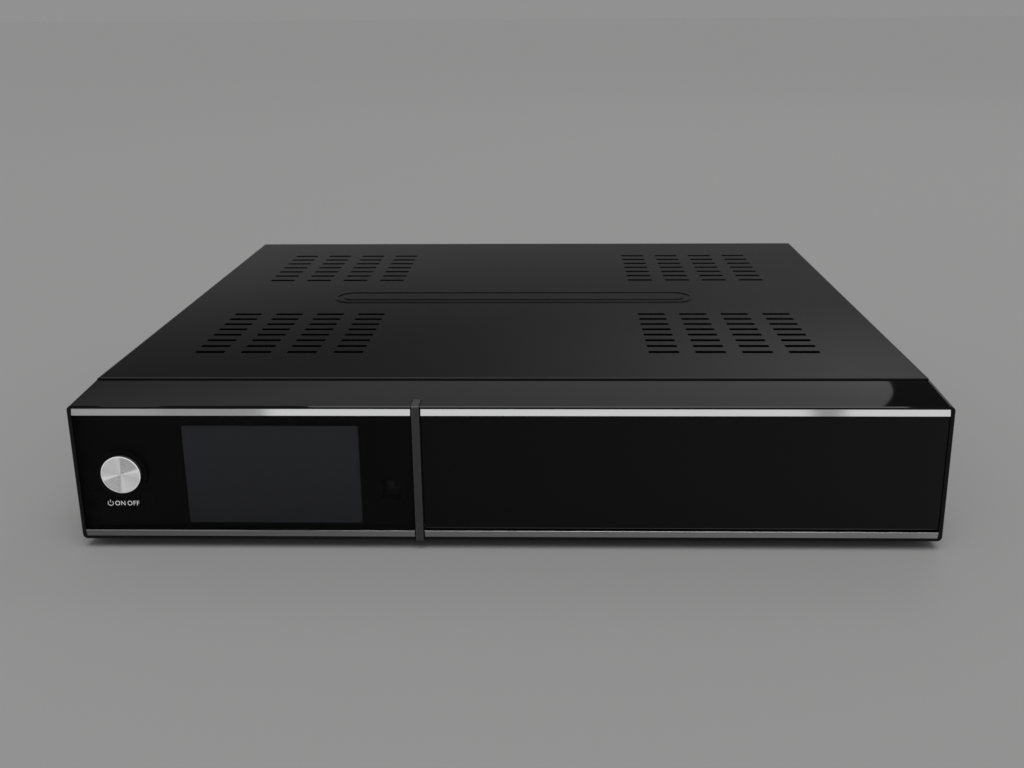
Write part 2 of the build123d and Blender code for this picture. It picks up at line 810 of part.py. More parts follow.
# ---------------------------------------------------------------- card bay
ci_cage_height = ci_slot_height + 2 * ci_wall
ci_cage_width = ci_slot_width + 2 * ci_side_wall
ci_levels = {
    "ci_cage_lower": z_board_top + ci_cage_height / 2,
    "ci_cage_upper": z_board_top + ci_cage_height * 3 / 2,
}
card_levels = {
    "card_reader_lower": z_board_top + card_reader_height / 2,
    "card_reader_upper": z_board_top + card_reader_height * 3 / 2,
}
front_usb_x = half_width - front_usb_from_side
front_usb_z = z_board_top + usb_height / 2
bay_left = rib_x + rib_wall / 2 + slip
bay_right = half_width - fascia_wall - slip
bay_bottom = z_base + fascia_wall + slip
bay_top = z_top - fascia_wall + bay_depth * rake - slip
with BuildPart() as card_bay_panel:
    with BuildSketch(across(y_bay)):
        with Locations(((bay_left + bay_right) / 2, (bay_bottom + bay_top) / 2)):
            Rectangle(bay_right - bay_left, bay_top - bay_bottom)
    extrude(amount=-bay_panel_thickness)
    with BuildSketch(across(y_bay)):
        # both module slots share one window
        with Locations((ci_x, z_board_top + ci_cage_height)):
            Rectangle(ci_slot_width + 2 * slot_margin, ci_cage_height + ci_slot_height + 2 * slot_margin)
        with Locations(*[(card_x, z) for z in card_levels.values()]):
            Rectangle(card_slot_width + 2 * slot_margin, card_slot_height + 2 * slot_margin)
        with Locations((front_usb_x, front_usb_z)):
            Rectangle(usb_width + 2 * socket_gap, usb_height + 2 * socket_gap)
    extrude(amount=-bay_panel_thickness, mode=Mode.SUBTRACT)
    # lead-in bevels round the slots of the smart cards
    slot_edges = ShapeList(
        edge
        for edge in card_bay_panel.faces().sort_by(Axis.Y)[0].inner_wires().edges()
        if abs(edge.center().X - card_x) < card_slot_width
    )
    chamfer(slot_edges, card_lead_in)
card_bay_panel.part.label = "card_bay_panel"
export_step(card_bay_panel.part, "parts/card_bay_panel.step")

for cage_name, cage_z in ci_levels.items():
    with BuildPart() as ci_cage:
        # guide frame of one common-interface module, closed at the back
        with BuildSketch(across(y_bay_back)):
            with Locations((ci_x, cage_z)):
                Rectangle(ci_cage_width, ci_cage_height)
        extrude(amount=-(ci_slot_depth + ci_back_wall))
        with BuildSketch(across(y_bay_back)):
            with Locations((ci_x, cage_z)):
                Rectangle(ci_slot_width, ci_slot_height)
        extrude(amount=-ci_slot_depth, mode=Mode.SUBTRACT)
    ci_cage.part.label = cage_name
    export_step(ci_cage.part, f"parts/{cage_name}.step")

for reader_name, reader_z in card_levels.items():
    with BuildPart() as card_reader:
        with BuildSketch(across(y_bay_back)):
            with Locations((card_x, reader_z)):
                Rectangle(card_reader_width, card_reader_height)
        extrude(amount=-card_reader_depth)
        with BuildSketch(across(y_bay_back)):
            with Locations((card_x, reader_z)):
                Rectangle(card_slot_width, card_slot_height)
        extrude(amount=-card_slot_depth, mode=Mode.SUBTRACT)
    card_reader.part.label = reader_name
    export_step(card_reader.part, f"parts/{reader_name}.step")

with BuildPart() as usb_port_front:
    # steel shell with the contact tongue along its upper side
    with BuildSketch(across(y_bay)):
        with Locations((front_usb_x, front_usb_z)):
            Rectangle(usb_width, usb_height)
    extrude(amount=-front_usb_length)
    with BuildSketch(across(y_bay)):
        with Locations((front_usb_x, front_usb_z)):
            Rectangle(usb_width - 2 * usb_wall, usb_height - 2 * usb_wall)
        with Locations((front_usb_x, front_usb_z + usb_height / 2 - usb_wall - usb_tongue)):
            Rectangle(usb_width - 4 * usb_wall, usb_tongue, mode=Mode.SUBTRACT)
    extrude(amount=-usb_mouth_depth, mode=Mode.SUBTRACT)
usb_port_front.part.label = "usb_port_front"
export_step(usb_port_front.part, "parts/usb_port_front.step")

# ---------------------------------------------------------------- top cover
vent_x = (pattern_shift - slot_groups_apart / 2, pattern_shift + slot_groups_apart / 2)
y_front_slots = y_front + front_slots_from_front
y_rear_slots = y_front + rear_slots_from_front
y_cover_front = y_fascia_back + joint_gap
flange_hole_z = z_cover - flange_hole_from_top
flange_hole_x = (flange_hole_from_side - half_width, 0, half_width - flange_hole_from_side)
side_hole_z = z_base + side_hole_above_base
side_hole_y = (y_front + foot_from_front + side_hole_from_foot, y_back - foot_from_back - side_hole_from_foot)
cover_height = z_cover - z_base
with BuildPart() as top_cover:
    # folded sheet: top and two sides
    with BuildSketch(across(y_cover_front)):
        with Locations((0, z_base + cover_height / 2)):
            cover_outline = Rectangle(cover_width, cover_height)
        fillet(cover_outline.vertices().group_by(Axis.Y)[-1], bend_radius)
        with Locations((0, z_base + (cover_height - sheet) / 2)):
            inner_outline = Rectangle(cover_width - 2 * sheet, cover_height - sheet, mode=Mode.PRIVATE)
        add(inner_outline, mode=Mode.SUBTRACT)
    extrude(amount=-(y_back - y_cover_front))
    front_edges = top_cover.faces().sort_by(Axis.Y)[0].edges()
    x_outer_edge = (cover_width - sheet / 2) / 2
    outer_edges = front_edges.filter_by(
        lambda edge: edge.center().Z > z_cover - sheet / 2 or abs(edge.center().X) > x_outer_edge
    )
    fillet(outer_edges, cover_lip_radius)
    # rear flange with its screw holes
    with BuildSketch(across(y_back)):
        with Locations((0, z_cover - sheet / 2 - cover_flange / 2)):
            Rectangle(cover_width - 2 * (sheet + bend_radius), cover_flange)
    extrude(amount=sheet)
    with BuildSketch(across(y_back)):
        with Locations(*[(x, flange_hole_z) for x in flange_hole_x]):
            Circle(screw_shank_radius + screw_hole_gap)
    extrude(amount=sheet, mode=Mode.SUBTRACT)
    # screw holes in the sides
    with BuildSketch(Plane.YZ):
        with Locations(*[(y, side_hole_z) for y in side_hole_y]):
            Circle(screw_shank_radius + screw_hole_gap)
    extrude(amount=half_width, both=True, mode=Mode.SUBTRACT)
    # four groups of vent slots
    with BuildSketch(level(z_cover)):
        with Locations(*[(x, y_front_slots) for x in vent_x]):
            with GridLocations(slot_pitch_x, front_slot_pitch, slot_columns, front_slot_rows):
                Rectangle(slot_length, slot_width)
        with Locations(*[(x, y_rear_slots) for x in vent_x]):
            with GridLocations(slot_pitch_x, rear_slot_pitch, slot_columns, rear_slot_rows):
                Rectangle(slot_length, slot_width)
    extrude(amount=-sheet, mode=Mode.SUBTRACT)
    # pressed field: a long raised bead with a second one inside it
    with BuildSketch(level(z_cover)):
        with Locations((pattern_shift, y_front + bead_from_front)):
            SlotOverall(bead_length, bead_height)
            SlotOverall(bead_length - 2 * bead_width, bead_height - 2 * bead_width, mode=Mode.SUBTRACT)
            SlotOverall(bead_length - 2 * inner_bead_inset, bead_height - 2 * inner_bead_inset)
    extrude(amount=bead_rise, taper=bead_draft)
top_cover.part.label = "top_cover"
export_step(top_cover.part, "parts/top_cover.step")

# ---------------------------------------------------------------- chassis base
z_cover_inner = z_cover - sheet
z_wall_top = z_cover_inner - joint_gap
foot_x = half_width - foot_from_side
y_foot_front = y_front + foot_from_front
y_foot_rear = y_back - foot_from_back
feet_points = {
    "foot_front_left": (-foot_x, y_foot_front),
    "foot_front_right": (foot_x, y_foot_front),
    "foot_rear_left": (-foot_x, y_foot_rear),
    "foot_rear_right": (foot_x, y_foot_rear),
}
ribbon_plug_width = ribbon_width + sheet
main_board_left = ribbon_x - ribbon_plug_width / 2 - main_board_overhang
main_board_right = chassis_half - main_board_side_gap
main_board_middle_x = (main_board_left + main_board_right) / 2
y_main_front = y_front + main_board_front
y_main_back = y_panel_inner - main_board_back_gap
y_main_middle = (y_main_front + y_main_back) / 2
psu_left = psu_side_gap - chassis_half
psu_right = psu_left + psu_width
y_psu_back = y_main_back
y_psu_front = y_psu_back - psu_depth
main_hole_points = [
    (x, y)
    for x in (main_board_left + board_hole_inset, main_board_right - board_hole_inset)
    for y in (y_main_front + front_hole_inset, y_main_middle, y_main_back - board_hole_inset)
]
tuner_right_x = main_board_right - board_hole_inset - screw_head_radius - tuner_side_gap - tuner_width / 2
tuner_x = (tuner_right_x - tuner_width - tuner_spacing, tuner_right_x)
chip_x = main_board_right - chip_from_right
psu_hole_points = [
    (x, y)
    for x in (psu_left + board_hole_inset, psu_right - board_hole_inset)
    for y in (y_psu_front + board_hole_inset, y_psu_back - board_hole_inset)
]
tray_left = tray_side_gap - chassis_half
tray_right = tray_left + tray_width
tray_middle_x = (tray_left + tray_right) / 2
y_tray = y_front + tray_from_front + tray_length / 2
ribbon_z = z_base + ribbon_above_base
bay_window_left = ci_x - ci_cage_width / 2 - board_hole_inset
bay_window_right = front_usb_x + usb_width / 2 + board_hole_inset
bay_window_bottom = z_board - joint_gap
bay_window_top = ci_levels["ci_cage_upper"] + ci_cage_height / 2 + joint_gap
with BuildPart() as chassis_base:
    # floor
    with BuildSketch(level(z_base)):
        with Locations((0, (y_fascia_back + y_panel_inner) / 2)):
            Rectangle(2 * chassis_half, y_panel_inner - y_fascia_back)
    extrude(amount=sheet)
    # folded side flanges
    with BuildSketch(level(z_base)):
        for side in (-1, 1):
            with Locations((side * (chassis_half - sheet / 2), (y_fascia_back + y_panel_inner) / 2)):
                Rectangle(sheet, y_panel_inner - y_fascia_back)
    extrude(amount=chassis_flange)
    # front wall that carries the fascia
    with BuildSketch(across(y_fascia_back)):
        with Locations((0, (z_base + z_wall_top) / 2)):
            Rectangle(2 * chassis_half, z_wall_top - z_base)
    extrude(amount=-sheet)
    with BuildSketch(across(y_fascia_back)):
        with Locations(
            ((bay_window_left + bay_window_right) / 2, (bay_window_bottom + bay_window_top) / 2)
        ):
            Rectangle(bay_window_right - bay_window_left, bay_window_top - bay_window_bottom)
        with Locations((ribbon_x, ribbon_z)):
            Rectangle(cable_slot_width, cable_slot_height)
        with Locations(*fixing_points):
            Circle(screw_shank_radius + screw_hole_gap)
    extrude(amount=-sheet, mode=Mode.SUBTRACT)
    # holes of the foot screws, side screws and two rows of floor vents
    with BuildSketch(level(z_base)):
        with Locations(*feet_points.values()):
            Circle(screw_shank_radius + screw_hole_gap)
        with Locations((main_board_middle_x, y_main_middle), (tray_middle_x, y_tray)):
            with GridLocations(base_vent_pitch, 1, base_vent_count, 1):
                Rectangle(base_vent_width, base_vent_length)
    extrude(amount=sheet, mode=Mode.SUBTRACT)
    with BuildSketch(Plane.YZ):
        with Locations(*[(y, side_hole_z) for y in side_hole_y]):
            Circle(screw_shank_radius + screw_hole_gap)
    extrude(amount=half_width, both=True, mode=Mode.SUBTRACT)
chassis_base.part.label = "chassis_base"
export_step(chassis_base.part, "parts/chassis_base.step")

# ---------------------------------------------------------------- rear panel
f_points = [(x + side * f_spacing / 2, z_board_top + f_above_board) for x in tuner_x for side in (-1, 1)]
net_x = tuner_x[0] - tuner_width / 2 - net_from_tuner - net_width / 2
rear_usb_x = net_x - socket_pitch
hdmi_x = (rear_usb_x - 2 * hdmi_pitch, rear_usb_x - hdmi_pitch)
optical_x = hdmi_x[0] - socket_pitch
inlet_x = psu_left + inlet_from_psu_side
switch_x = inlet_x + switch_from_inlet
inlet_z = z_base + inlet_above_base
switch_body_width = rocker_width + 2 * (rocker_side_gap + switch_wall)
switch_body_height = rocker_length + 2 * (rocker_height * sin(radians(rocker_tilt)) + switch_wall)
rear_cutouts = [
    (x, z_board_top + hdmi_height / 2, hdmi_width, hdmi_height) for x in hdmi_x
] + [
    (rear_usb_x, z_board_top + rear_usb_height / 2, usb_width, rear_usb_height),
    (net_x, z_board_top + net_height / 2, net_width, net_height),
    (optical_x, z_board_top + optical_size / 2, optical_size, optical_size),
    (inlet_x, inlet_z, inlet_body_width, inlet_body_height),
    (switch_x, inlet_z, switch_body_width, switch_body_height),
]
with BuildPart() as rear_panel:
    with BuildSketch(across(y_panel)):
        with Locations((0, (z_base + z_wall_top) / 2)):
            Rectangle(2 * chassis_half, z_wall_top - z_base)
        for cut_x, cut_z, cut_width, cut_height in rear_cutouts:
            with Locations((cut_x, cut_z)):
                Rectangle(cut_width + 2 * socket_gap, cut_height + 2 * socket_gap, mode=Mode.SUBTRACT)
        with Locations(*f_points):
            Circle(f_neck_radius + screw_hole_gap, mode=Mode.SUBTRACT)
        with Locations(*[(x, flange_hole_z) for x in flange_hole_x]):
            Circle(screw_shank_radius + running, mode=Mode.SUBTRACT)
        # upright vent slots between the power supply and the sockets
        with Locations(((psu_right + optical_x) / 2, inlet_z)):
            with GridLocations(rear_vent_pitch, 1, rear_vent_count, 1):
                SlotOverall(rear_vent_height, rear_vent_width, rotation=90, mode=Mode.SUBTRACT)
    extrude(amount=sheet)
    # lip that lies on the floor
    with BuildSketch(level(z_floor)):
        with Locations((0, y_panel_inner - main_board_back_gap / 2)):
            Rectangle(2 * (chassis_half - sheet - joint_gap), main_board_back_gap)
    extrude(amount=sheet)
rear_panel.part.label = "rear_panel"
export_step(rear_panel.part, "parts/rear_panel.step")

# ---------------------------------------------------------------- feet
foot_points = list(feet_points.values())
for foot_name, (foot_at_x, foot_at_y) in feet_points.items():
    with BuildPart() as foot:
        with BuildSketch(level(z_base)):
            with Locations((foot_at_x, foot_at_y)):
                Circle(foot_radius)
        extrude(amount=-foot_lift, taper=foot_draft)
        with BuildSketch(level(0)):
            with Locations((foot_at_x, foot_at_y)):
                Circle(foot_recess_radius)
        extrude(amount=foot_recess_depth, mode=Mode.SUBTRACT)
        with BuildSketch(level(0)):
            with Locations((foot_at_x, foot_at_y)):
                Circle(screw_shank_radius + running)
        extrude(amount=foot_lift, mode=Mode.SUBTRACT)
    foot.part.label = foot_name
    export_step(foot.part, f"parts/{foot_name}.step")


# ---------------------------------------------------------------- screws
def screws_at(planes, length, recess=True):
    """Screws: on each plane a head stands along its normal and a shank runs the other way."""
    with BuildPart() as screws:
        for plane in planes:
            with BuildSketch(plane):
                Circle(screw_head_radius)
            extrude(amount=screw_head_height)
            with BuildSketch(plane):
                Circle(screw_shank_radius)
            extrude(amount=-length)
            if recess:
                with BuildSketch(plane.offset(screw_head_height)):
                    Rectangle(drive_length, drive_recess)
                    Rectangle(drive_recess, drive_length)
                extrude(amount=-drive_recess, mode=Mode.SUBTRACT)
    return screws


def facing(x, y, z, normal):
    """A plane through a point that faces along the normal."""
    return Plane(origin=(x, y, z), z_dir=normal)


cover_screws = screws_at(
    [facing(x, y_back, flange_hole_z, (0, 1, 0)) for x in flange_hole_x]
    + [facing(side * cover_width / 2, y, side_hole_z, (side, 0, 0)) for side in (-1, 1) for y in side_hole_y],
    screw_length,
)
cover_screws.part.label = "cover_screws"
export_step(cover_screws.part, "parts/cover_screws.step")

foot_screws = screws_at(
    [facing(x, y, foot_recess_depth, (0, 0, -1)) for x, y in foot_points], foot_lift + screw_head_radius
)
foot_screws.part.label = "foot_screws"
export_step(foot_screws.part, "parts/foot_screws.step")

fascia_screws = screws_at(
    [facing(x, y_fascia_back + sheet, z, (0, 1, 0)) for x, z in fixing_points],
    screw_length + sheet,
    recess=False,
)
fascia_screws.part.label = "fascia_screws"
export_step(fascia_screws.part, "parts/fascia_screws.step")

board_screws = screws_at(
    [facing(x, y, z_board_top, (0, 0, 1)) for x, y in main_hole_points + psu_hole_points]
    + [facing(x, y_front_board_back, z, (0, 1, 0)) for x in boss_x for z in boss_z],
    screw_length,
    recess=False,
)
board_screws.part.label = "board_screws"
export_step(board_screws.part, "parts/board_screws.step")

# ---------------------------------------------------------------- main board and what stands on it
with BuildPart() as board_standoffs:
    with BuildSketch(level(z_floor)):
        with Locations(*(main_hole_points + psu_hole_points)):
            RegularPolygon(standoff_radius, 6)
            Circle(screw_shank_radius + running, mode=Mode.SUBTRACT)
    extrude(amount=standoff_height)
board_standoffs.part.label = "board_standoffs"
export_step(board_standoffs.part, "parts/board_standoffs.step")

with BuildPart() as main_board:
    with BuildSketch(level(z_board)):
        with Locations((main_board_middle_x, y_main_middle)):
            Rectangle(main_board_right - main_board_left, y_main_back - y_main_front)
        with Locations(*main_hole_points):
            Circle(screw_shank_radius + screw_hole_gap, mode=Mode.SUBTRACT)
    extrude(amount=board_thickness)
main_board.part.label = "main_board"
export_step(main_board.part, "parts/main_board.step")

y_chip = y_front + chip_from_front
with BuildPart() as soc_chip:
    with BuildSketch(level(z_board_top)):
        with Locations((chip_x, y_chip)):
            Rectangle(chip_size, chip_size)
    extrude(amount=chip_height)
    chamfer(soc_chip.faces().sort_by(Axis.Z)[-1].edges(), chip_bevel)
soc_chip.part.label = "soc_chip"
export_step(soc_chip.part, "parts/soc_chip.step")

with BuildPart() as heatsink:
    z_sink = z_board_top + chip_height
    with BuildSketch(level(z_sink)):
        with Locations((chip_x, y_chip)):
            Rectangle(sink_size, sink_size)
    extrude(amount=sink_base)
    with BuildSketch(level(z_sink + sink_base)):
        with Locations((chip_x, y_chip)):
            with GridLocations((sink_size - fin_thickness) / (sink_fins - 1), 1, sink_fins, 1):
                Rectangle(fin_thickness, sink_size)
    extrude(amount=sink_height - sink_base)
heatsink.part.label = "heatsink"
export_step(heatsink.part, "parts/heatsink.step")

with BuildPart() as memory_chips:
    with BuildSketch(level(z_board_top)):
        with Locations((chip_x - sink_size, y_chip), (chip_x + sink_size, y_chip)):
            with GridLocations(1, memory_pitch, 1, 2):
                Rectangle(memory_width, memory_length)
    extrude(amount=memory_height)
memory_chips.part.label = "memory_chips"
export_step(memory_chips.part, "parts/memory_chips.step")

with BuildPart() as board_capacitors:
    with BuildSketch(level(z_board_top)):
        with Locations((main_board_middle_x, y_chip - sink_size)):
            with GridLocations(capacitor_pitch, 1, capacitor_count, 1):
                Circle(capacitor_radius)
    extrude(amount=capacitor_height)
board_capacitors.part.label = "board_capacitors"
export_step(board_capacitors.part, "parts/board_capacitors.step")

# ---------------------------------------------------------------- tuners and aerial sockets
y_tuner_back = y_panel_inner - joint_gap
for tuner_name, tuner_at in zip(("tuner_left", "tuner_right"), tuner_x):
    with BuildPart() as tuner:
        # screening can with a lid seam
        with BuildSketch(level(z_board_top)):
            with Locations((tuner_at, y_tuner_back - tuner_depth / 2)):
                Rectangle(tuner_width, tuner_depth)
        extrude(amount=tuner_height - sheet)
        with BuildSketch(level(z_board_top + tuner_height - sheet)):
            with Locations((tuner_at, y_tuner_back - tuner_depth / 2)):
                Rectangle(tuner_width - 2 * sheet, tuner_depth - 2 * sheet)
        extrude(amount=sheet)
    tuner.part.label = tuner_name
    export_step(tuner.part, f"parts/{tuner_name}.step")

with BuildPart() as f_sockets:
    # neck through panel and nut, then the screwed sleeve with a face recess and the hole of the contact
    with BuildSketch(across(y_tuner_back)):
        with Locations(*f_points):
            Circle(f_neck_radius)
    extrude(amount=-(y_panel + nut_thickness - y_tuner_back))
    with BuildSketch(across(y_panel + nut_thickness)):
        with Locations(*f_points):
            Circle(f_radius)
    extrude(amount=-(f_length - nut_thickness))
    chamfer(f_sockets.faces().sort_by(Axis.Y)[-len(f_points):].edges(), joint_gap)
    with BuildSketch(across(y_panel + f_length)):
        with Locations(*f_points):
            Circle(f_face_radius)
    extrude(amount=f_face_depth, mode=Mode.SUBTRACT)
    with BuildSketch(across(y_panel + f_length)):
        with Locations(*f_points):
            Circle(f_pin_radius)
    extrude(amount=f_pin_depth, mode=Mode.SUBTRACT)
f_sockets.part.label = "f_sockets"
export_step(f_sockets.part, "parts/f_sockets.step")

with BuildPart() as f_nuts:
    with BuildSketch(across(y_panel)):
        with Locations(*f_points):
            RegularPolygon(nut_flats / 2, 6, major_radius=False)
            Circle(f_neck_radius + running, mode=Mode.SUBTRACT)
    extrude(amount=-nut_thickness)
f_nuts.part.label = "f_nuts"
export_step(f_nuts.part, "parts/f_nuts.step")

# ---------------------------------------------------------------- other rear sockets
y_socket = y_panel + socket_proud
with BuildPart() as hdmi_ports:
    # shells narrower below, with a tongue in each mouth
    for port_x in hdmi_x:
        port_low = z_board_top
        port_high = z_board_top + hdmi_height
        with BuildSketch(across(y_socket)):
            with BuildLine():
                Polyline(
                    (port_x - hdmi_width / 2, port_high),
                    (port_x + hdmi_width / 2, port_high),
                    (port_x + hdmi_width / 2, port_low + hdmi_shoulder),
                    (port_x + hdmi_base_width / 2, port_low),
                    (port_x - hdmi_base_width / 2, port_low),
                    (port_x - hdmi_width / 2, port_low + hdmi_shoulder),
                    close=True,
                )
            make_face()
        extrude(amount=hdmi_depth)
        with BuildSketch(across(y_socket)):
            with Locations((port_x, port_low + hdmi_mouth_above_board)):
                Rectangle(hdmi_width - 2 * usb_wall, hdmi_mouth_height)
                Rectangle(hdmi_tongue_width, hdmi_tongue, mode=Mode.SUBTRACT)
        extrude(amount=hdmi_mouth_depth, mode=Mode.SUBTRACT)
hdmi_ports.part.label = "hdmi_ports"
export_step(hdmi_ports.part, "parts/hdmi_ports.step")

with BuildPart() as usb_ports_rear:
    # two sockets in one shell, one above the other
    usb_middle = z_board_top + rear_usb_height / 2
    with BuildSketch(across(y_socket)):
        with Locations((rear_usb_x, usb_middle)):
            Rectangle(usb_width, rear_usb_height)
    extrude(amount=rear_usb_depth)
    with BuildSketch(across(y_socket)):
        with Locations((rear_usb_x, usb_middle)):
            with GridLocations(1, rear_usb_height / 2, 1, 2):
                Rectangle(usb_width - 2 * usb_wall, usb_height - 2 * usb_wall)
        with Locations((rear_usb_x, usb_middle + usb_wall)):
            with GridLocations(1, rear_usb_height / 2, 1, 2):
                Rectangle(usb_width - 4 * usb_wall, usb_tongue, mode=Mode.SUBTRACT)
    extrude(amount=usb_mouth_depth, mode=Mode.SUBTRACT)
usb_ports_rear.part.label = "usb_ports_rear"
export_step(usb_ports_rear.part, "parts/usb_ports_rear.step")

net_mouth_z = z_board_top + net_mouth_rise + net_mouth_height / 2
with BuildPart() as ethernet_port:
    with BuildSketch(across(y_socket)):
        with Locations((net_x, z_board_top + net_height / 2)):
            Rectangle(net_width, net_height)
    extrude(amount=net_depth)
    with BuildSketch(across(y_socket)):
        with Locations((net_x, net_mouth_z)):
            Rectangle(net_mouth_width, net_mouth_height)
        with Locations((net_x, net_mouth_z + net_mouth_height / 2)):
            Rectangle(net_key_width, net_mouth_rise)
    extrude(amount=net_mouth_depth, mode=Mode.SUBTRACT)
ethernet_port.part.label = "ethernet_port"
export_step(ethernet_port.part, "parts/ethernet_port.step")

with BuildPart() as optical_output:
    # optical socket with its shutter closed
    with BuildSketch(across(y_socket)):
        with Locations((optical_x, z_board_top + optical_size / 2)):
            Rectangle(optical_size, optical_size)
    extrude(amount=optical_depth)
    with BuildSketch(across(y_socket)):
        with Locations((optical_x, z_board_top + optical_size / 2)):
            optical_mouth = Rectangle(optical_shutter, optical_shutter)
        chamfer(optical_mouth.vertices().group_by(Axis.Y)[-1], optical_recess)
    extrude(amount=optical_recess, mode=Mode.SUBTRACT)
optical_output.part.label = "optical_output"
export_step(optical_output.part, "parts/optical_output.step")

# ---------------------------------------------------------------- power supply
with BuildPart() as psu_board:
    with BuildSketch(level(z_board)):
        with Locations(((psu_left + psu_right) / 2, (y_psu_front + y_psu_back) / 2)):
            Rectangle(psu_right - psu_left, psu_depth)
        with Locations(*psu_hole_points):
            Circle(screw_shank_radius + screw_hole_gap, mode=Mode.SUBTRACT)
    extrude(amount=board_thickness)
psu_board.part.label = "psu_board"
export_step(psu_board.part, "parts/psu_board.step")

y_psu_row = y_psu_front + psu_row_from_front
big_cap_x = psu_left + psu_gap + big_cap_radius
transformer_x = big_cap_x + big_cap_radius + psu_gap + transformer_width / 2
sink_x = transformer_x + transformer_width / 2 + psu_gap + psu_sink_foot + psu_sink_thickness / 2
with BuildPart() as psu_transformer:
    # wound bobbin inside an E core
    with BuildSketch(level(z_board_top)):
        with Locations((transformer_x, y_psu_row)):
            Rectangle(transformer_width - 2 * bobbin_margin, transformer_depth)
    extrude(amount=transformer_height - bobbin_margin)
    with BuildSketch(level(z_board_top + bobbin_margin)):
        with Locations((transformer_x, y_psu_row)):
            Rectangle(transformer_width, transformer_core)
    extrude(amount=transformer_height - bobbin_margin)
psu_transformer.part.label = "psu_transformer"
export_step(psu_transformer.part, "parts/psu_transformer.step")

with BuildPart() as psu_capacitor:
    with BuildSketch(level(z_board_top)):
        with Locations((big_cap_x, y_psu_row)):
            Circle(big_cap_radius)
    extrude(amount=big_cap_height)
    chamfer(psu_capacitor.faces().sort_by(Axis.Z)[-1].edges(), big_cap_bevel)
psu_capacitor.part.label = "psu_capacitor"
export_step(psu_capacitor.part, "parts/psu_capacitor.step")

with BuildPart() as psu_heatsink:
    # folded plate standing on the board
    with BuildSketch(level(z_board_top)):
        with Locations((sink_x, y_psu_row)):
            Rectangle(psu_sink_thickness, psu_sink_length)
        with Locations((sink_x - psu_sink_foot / 2, y_psu_row + psu_sink_length / 2)):
            Rectangle(psu_sink_foot + psu_sink_thickness, psu_sink_thickness)
    extrude(amount=psu_sink_height)
psu_heatsink.part.label = "psu_heatsink"
export_step(psu_heatsink.part, "parts/psu_heatsink.step")

# ---------------------------------------------------------------- mains inlet
with BuildPart() as mains_inlet:
    # two-pin inlet: flange, body, figure-of-eight mouth and two pins
    with BuildSketch(across(y_panel)):
        with Locations((inlet_x, inlet_z)):
            RectangleRounded(inlet_width, inlet_height, fascia_corner)
    extrude(amount=-inlet_flange)
    with BuildSketch(across(y_panel)):
        with Locations((inlet_x, inlet_z)):
            Rectangle(inlet_body_width, inlet_body_height)
    extrude(amount=inlet_body_depth)
    with BuildSketch(across(y_panel + inlet_flange)):
        with Locations((inlet_x, inlet_z)):
            SlotOverall(inlet_mouth_width, inlet_mouth_height)
    extrude(amount=inlet_mouth_depth + inlet_flange, mode=Mode.SUBTRACT)
    with BuildSketch(across(y_panel - inlet_mouth_depth)):
        with Locations((inlet_x, inlet_z)):
            with GridLocations(inlet_pin_spacing, 1, 2, 1):
                Circle(inlet_pin_radius)
    extrude(amount=-(inlet_mouth_depth - inlet_pin_setback))
mains_inlet.part.label = "mains_inlet"
export_step(mains_inlet.part, "parts/mains_inlet.step")

# ---------------------------------------------------------------- mains rocker switch
y_bezel = y_panel + switch_bezel
rocker_y = y_bezel - rocker_pivot_depth
with BuildPart() as mains_switch_body:
    with BuildSketch(across(y_panel)):
        with Locations((switch_x, inlet_z)):
            RectangleRounded(
                switch_body_width + 2 * switch_bezel_margin, switch_body_height + 2 * switch_bezel_margin,
                switch_bezel_margin,
            )
    extrude(amount=-switch_bezel)
    with BuildSketch(across(y_panel)):
        with Locations((switch_x, inlet_z)):
            Rectangle(switch_body_width, switch_body_height)
    extrude(amount=switch_depth)
    with BuildSketch(across(y_bezel)):
        with Locations((switch_x, inlet_z)):
            Rectangle(switch_body_width - 2 * switch_wall, switch_body_height - 2 * switch_wall)
    extrude(amount=switch_cavity, mode=Mode.SUBTRACT)
    with BuildSketch(sideways(switch_x)):
        with Locations((rocker_y, inlet_z)):
            Circle(rocker_pivot_radius + running)
    extrude(
        amount=switch_body_width / 2 - switch_wall + rocker_pivot_length + slip, both=True, mode=Mode.SUBTRACT
    )
mains_switch_body.part.label = "mains_switch_body"
export_step(mains_switch_body.part, "parts/mains_switch_body.step")


def tilted(along, out):
    """A point of the rocker's outline, leant to its off position about the pivot."""
    angle = radians(rocker_tilt)
    return (
        rocker_y + out * cos(angle) + along * sin(angle),
        inlet_z + along * cos(angle) - out * sin(angle),
    )


with BuildPart() as mains_rocker:
    with BuildSketch(sideways(switch_x)):
        with BuildLine():
            Polyline(
                tilted(-rocker_length / 2, rocker_height),
                tilted(0, rocker_height - rocker_waist),
                tilted(rocker_length / 2, rocker_height),
                tilted(rocker_length / 2 - rocker_side_gap * 2, 0),
                tilted(rocker_belly / 2, -rocker_belly),
                tilted(-rocker_belly / 2, -rocker_belly),
                tilted(-rocker_length / 2 + rocker_side_gap * 2, 0),
                close=True,
            )
        make_face()
    extrude(amount=rocker_width / 2, both=True)
    with BuildSketch(sideways(switch_x)):
        with Locations((rocker_y, inlet_z)):
            Circle(rocker_pivot_radius)
    extrude(amount=rocker_width / 2 + rocker_side_gap + rocker_pivot_length, both=True)
mains_rocker.part.label = "mains_rocker"
export_step(mains_rocker.part, "parts/mains_rocker.step")

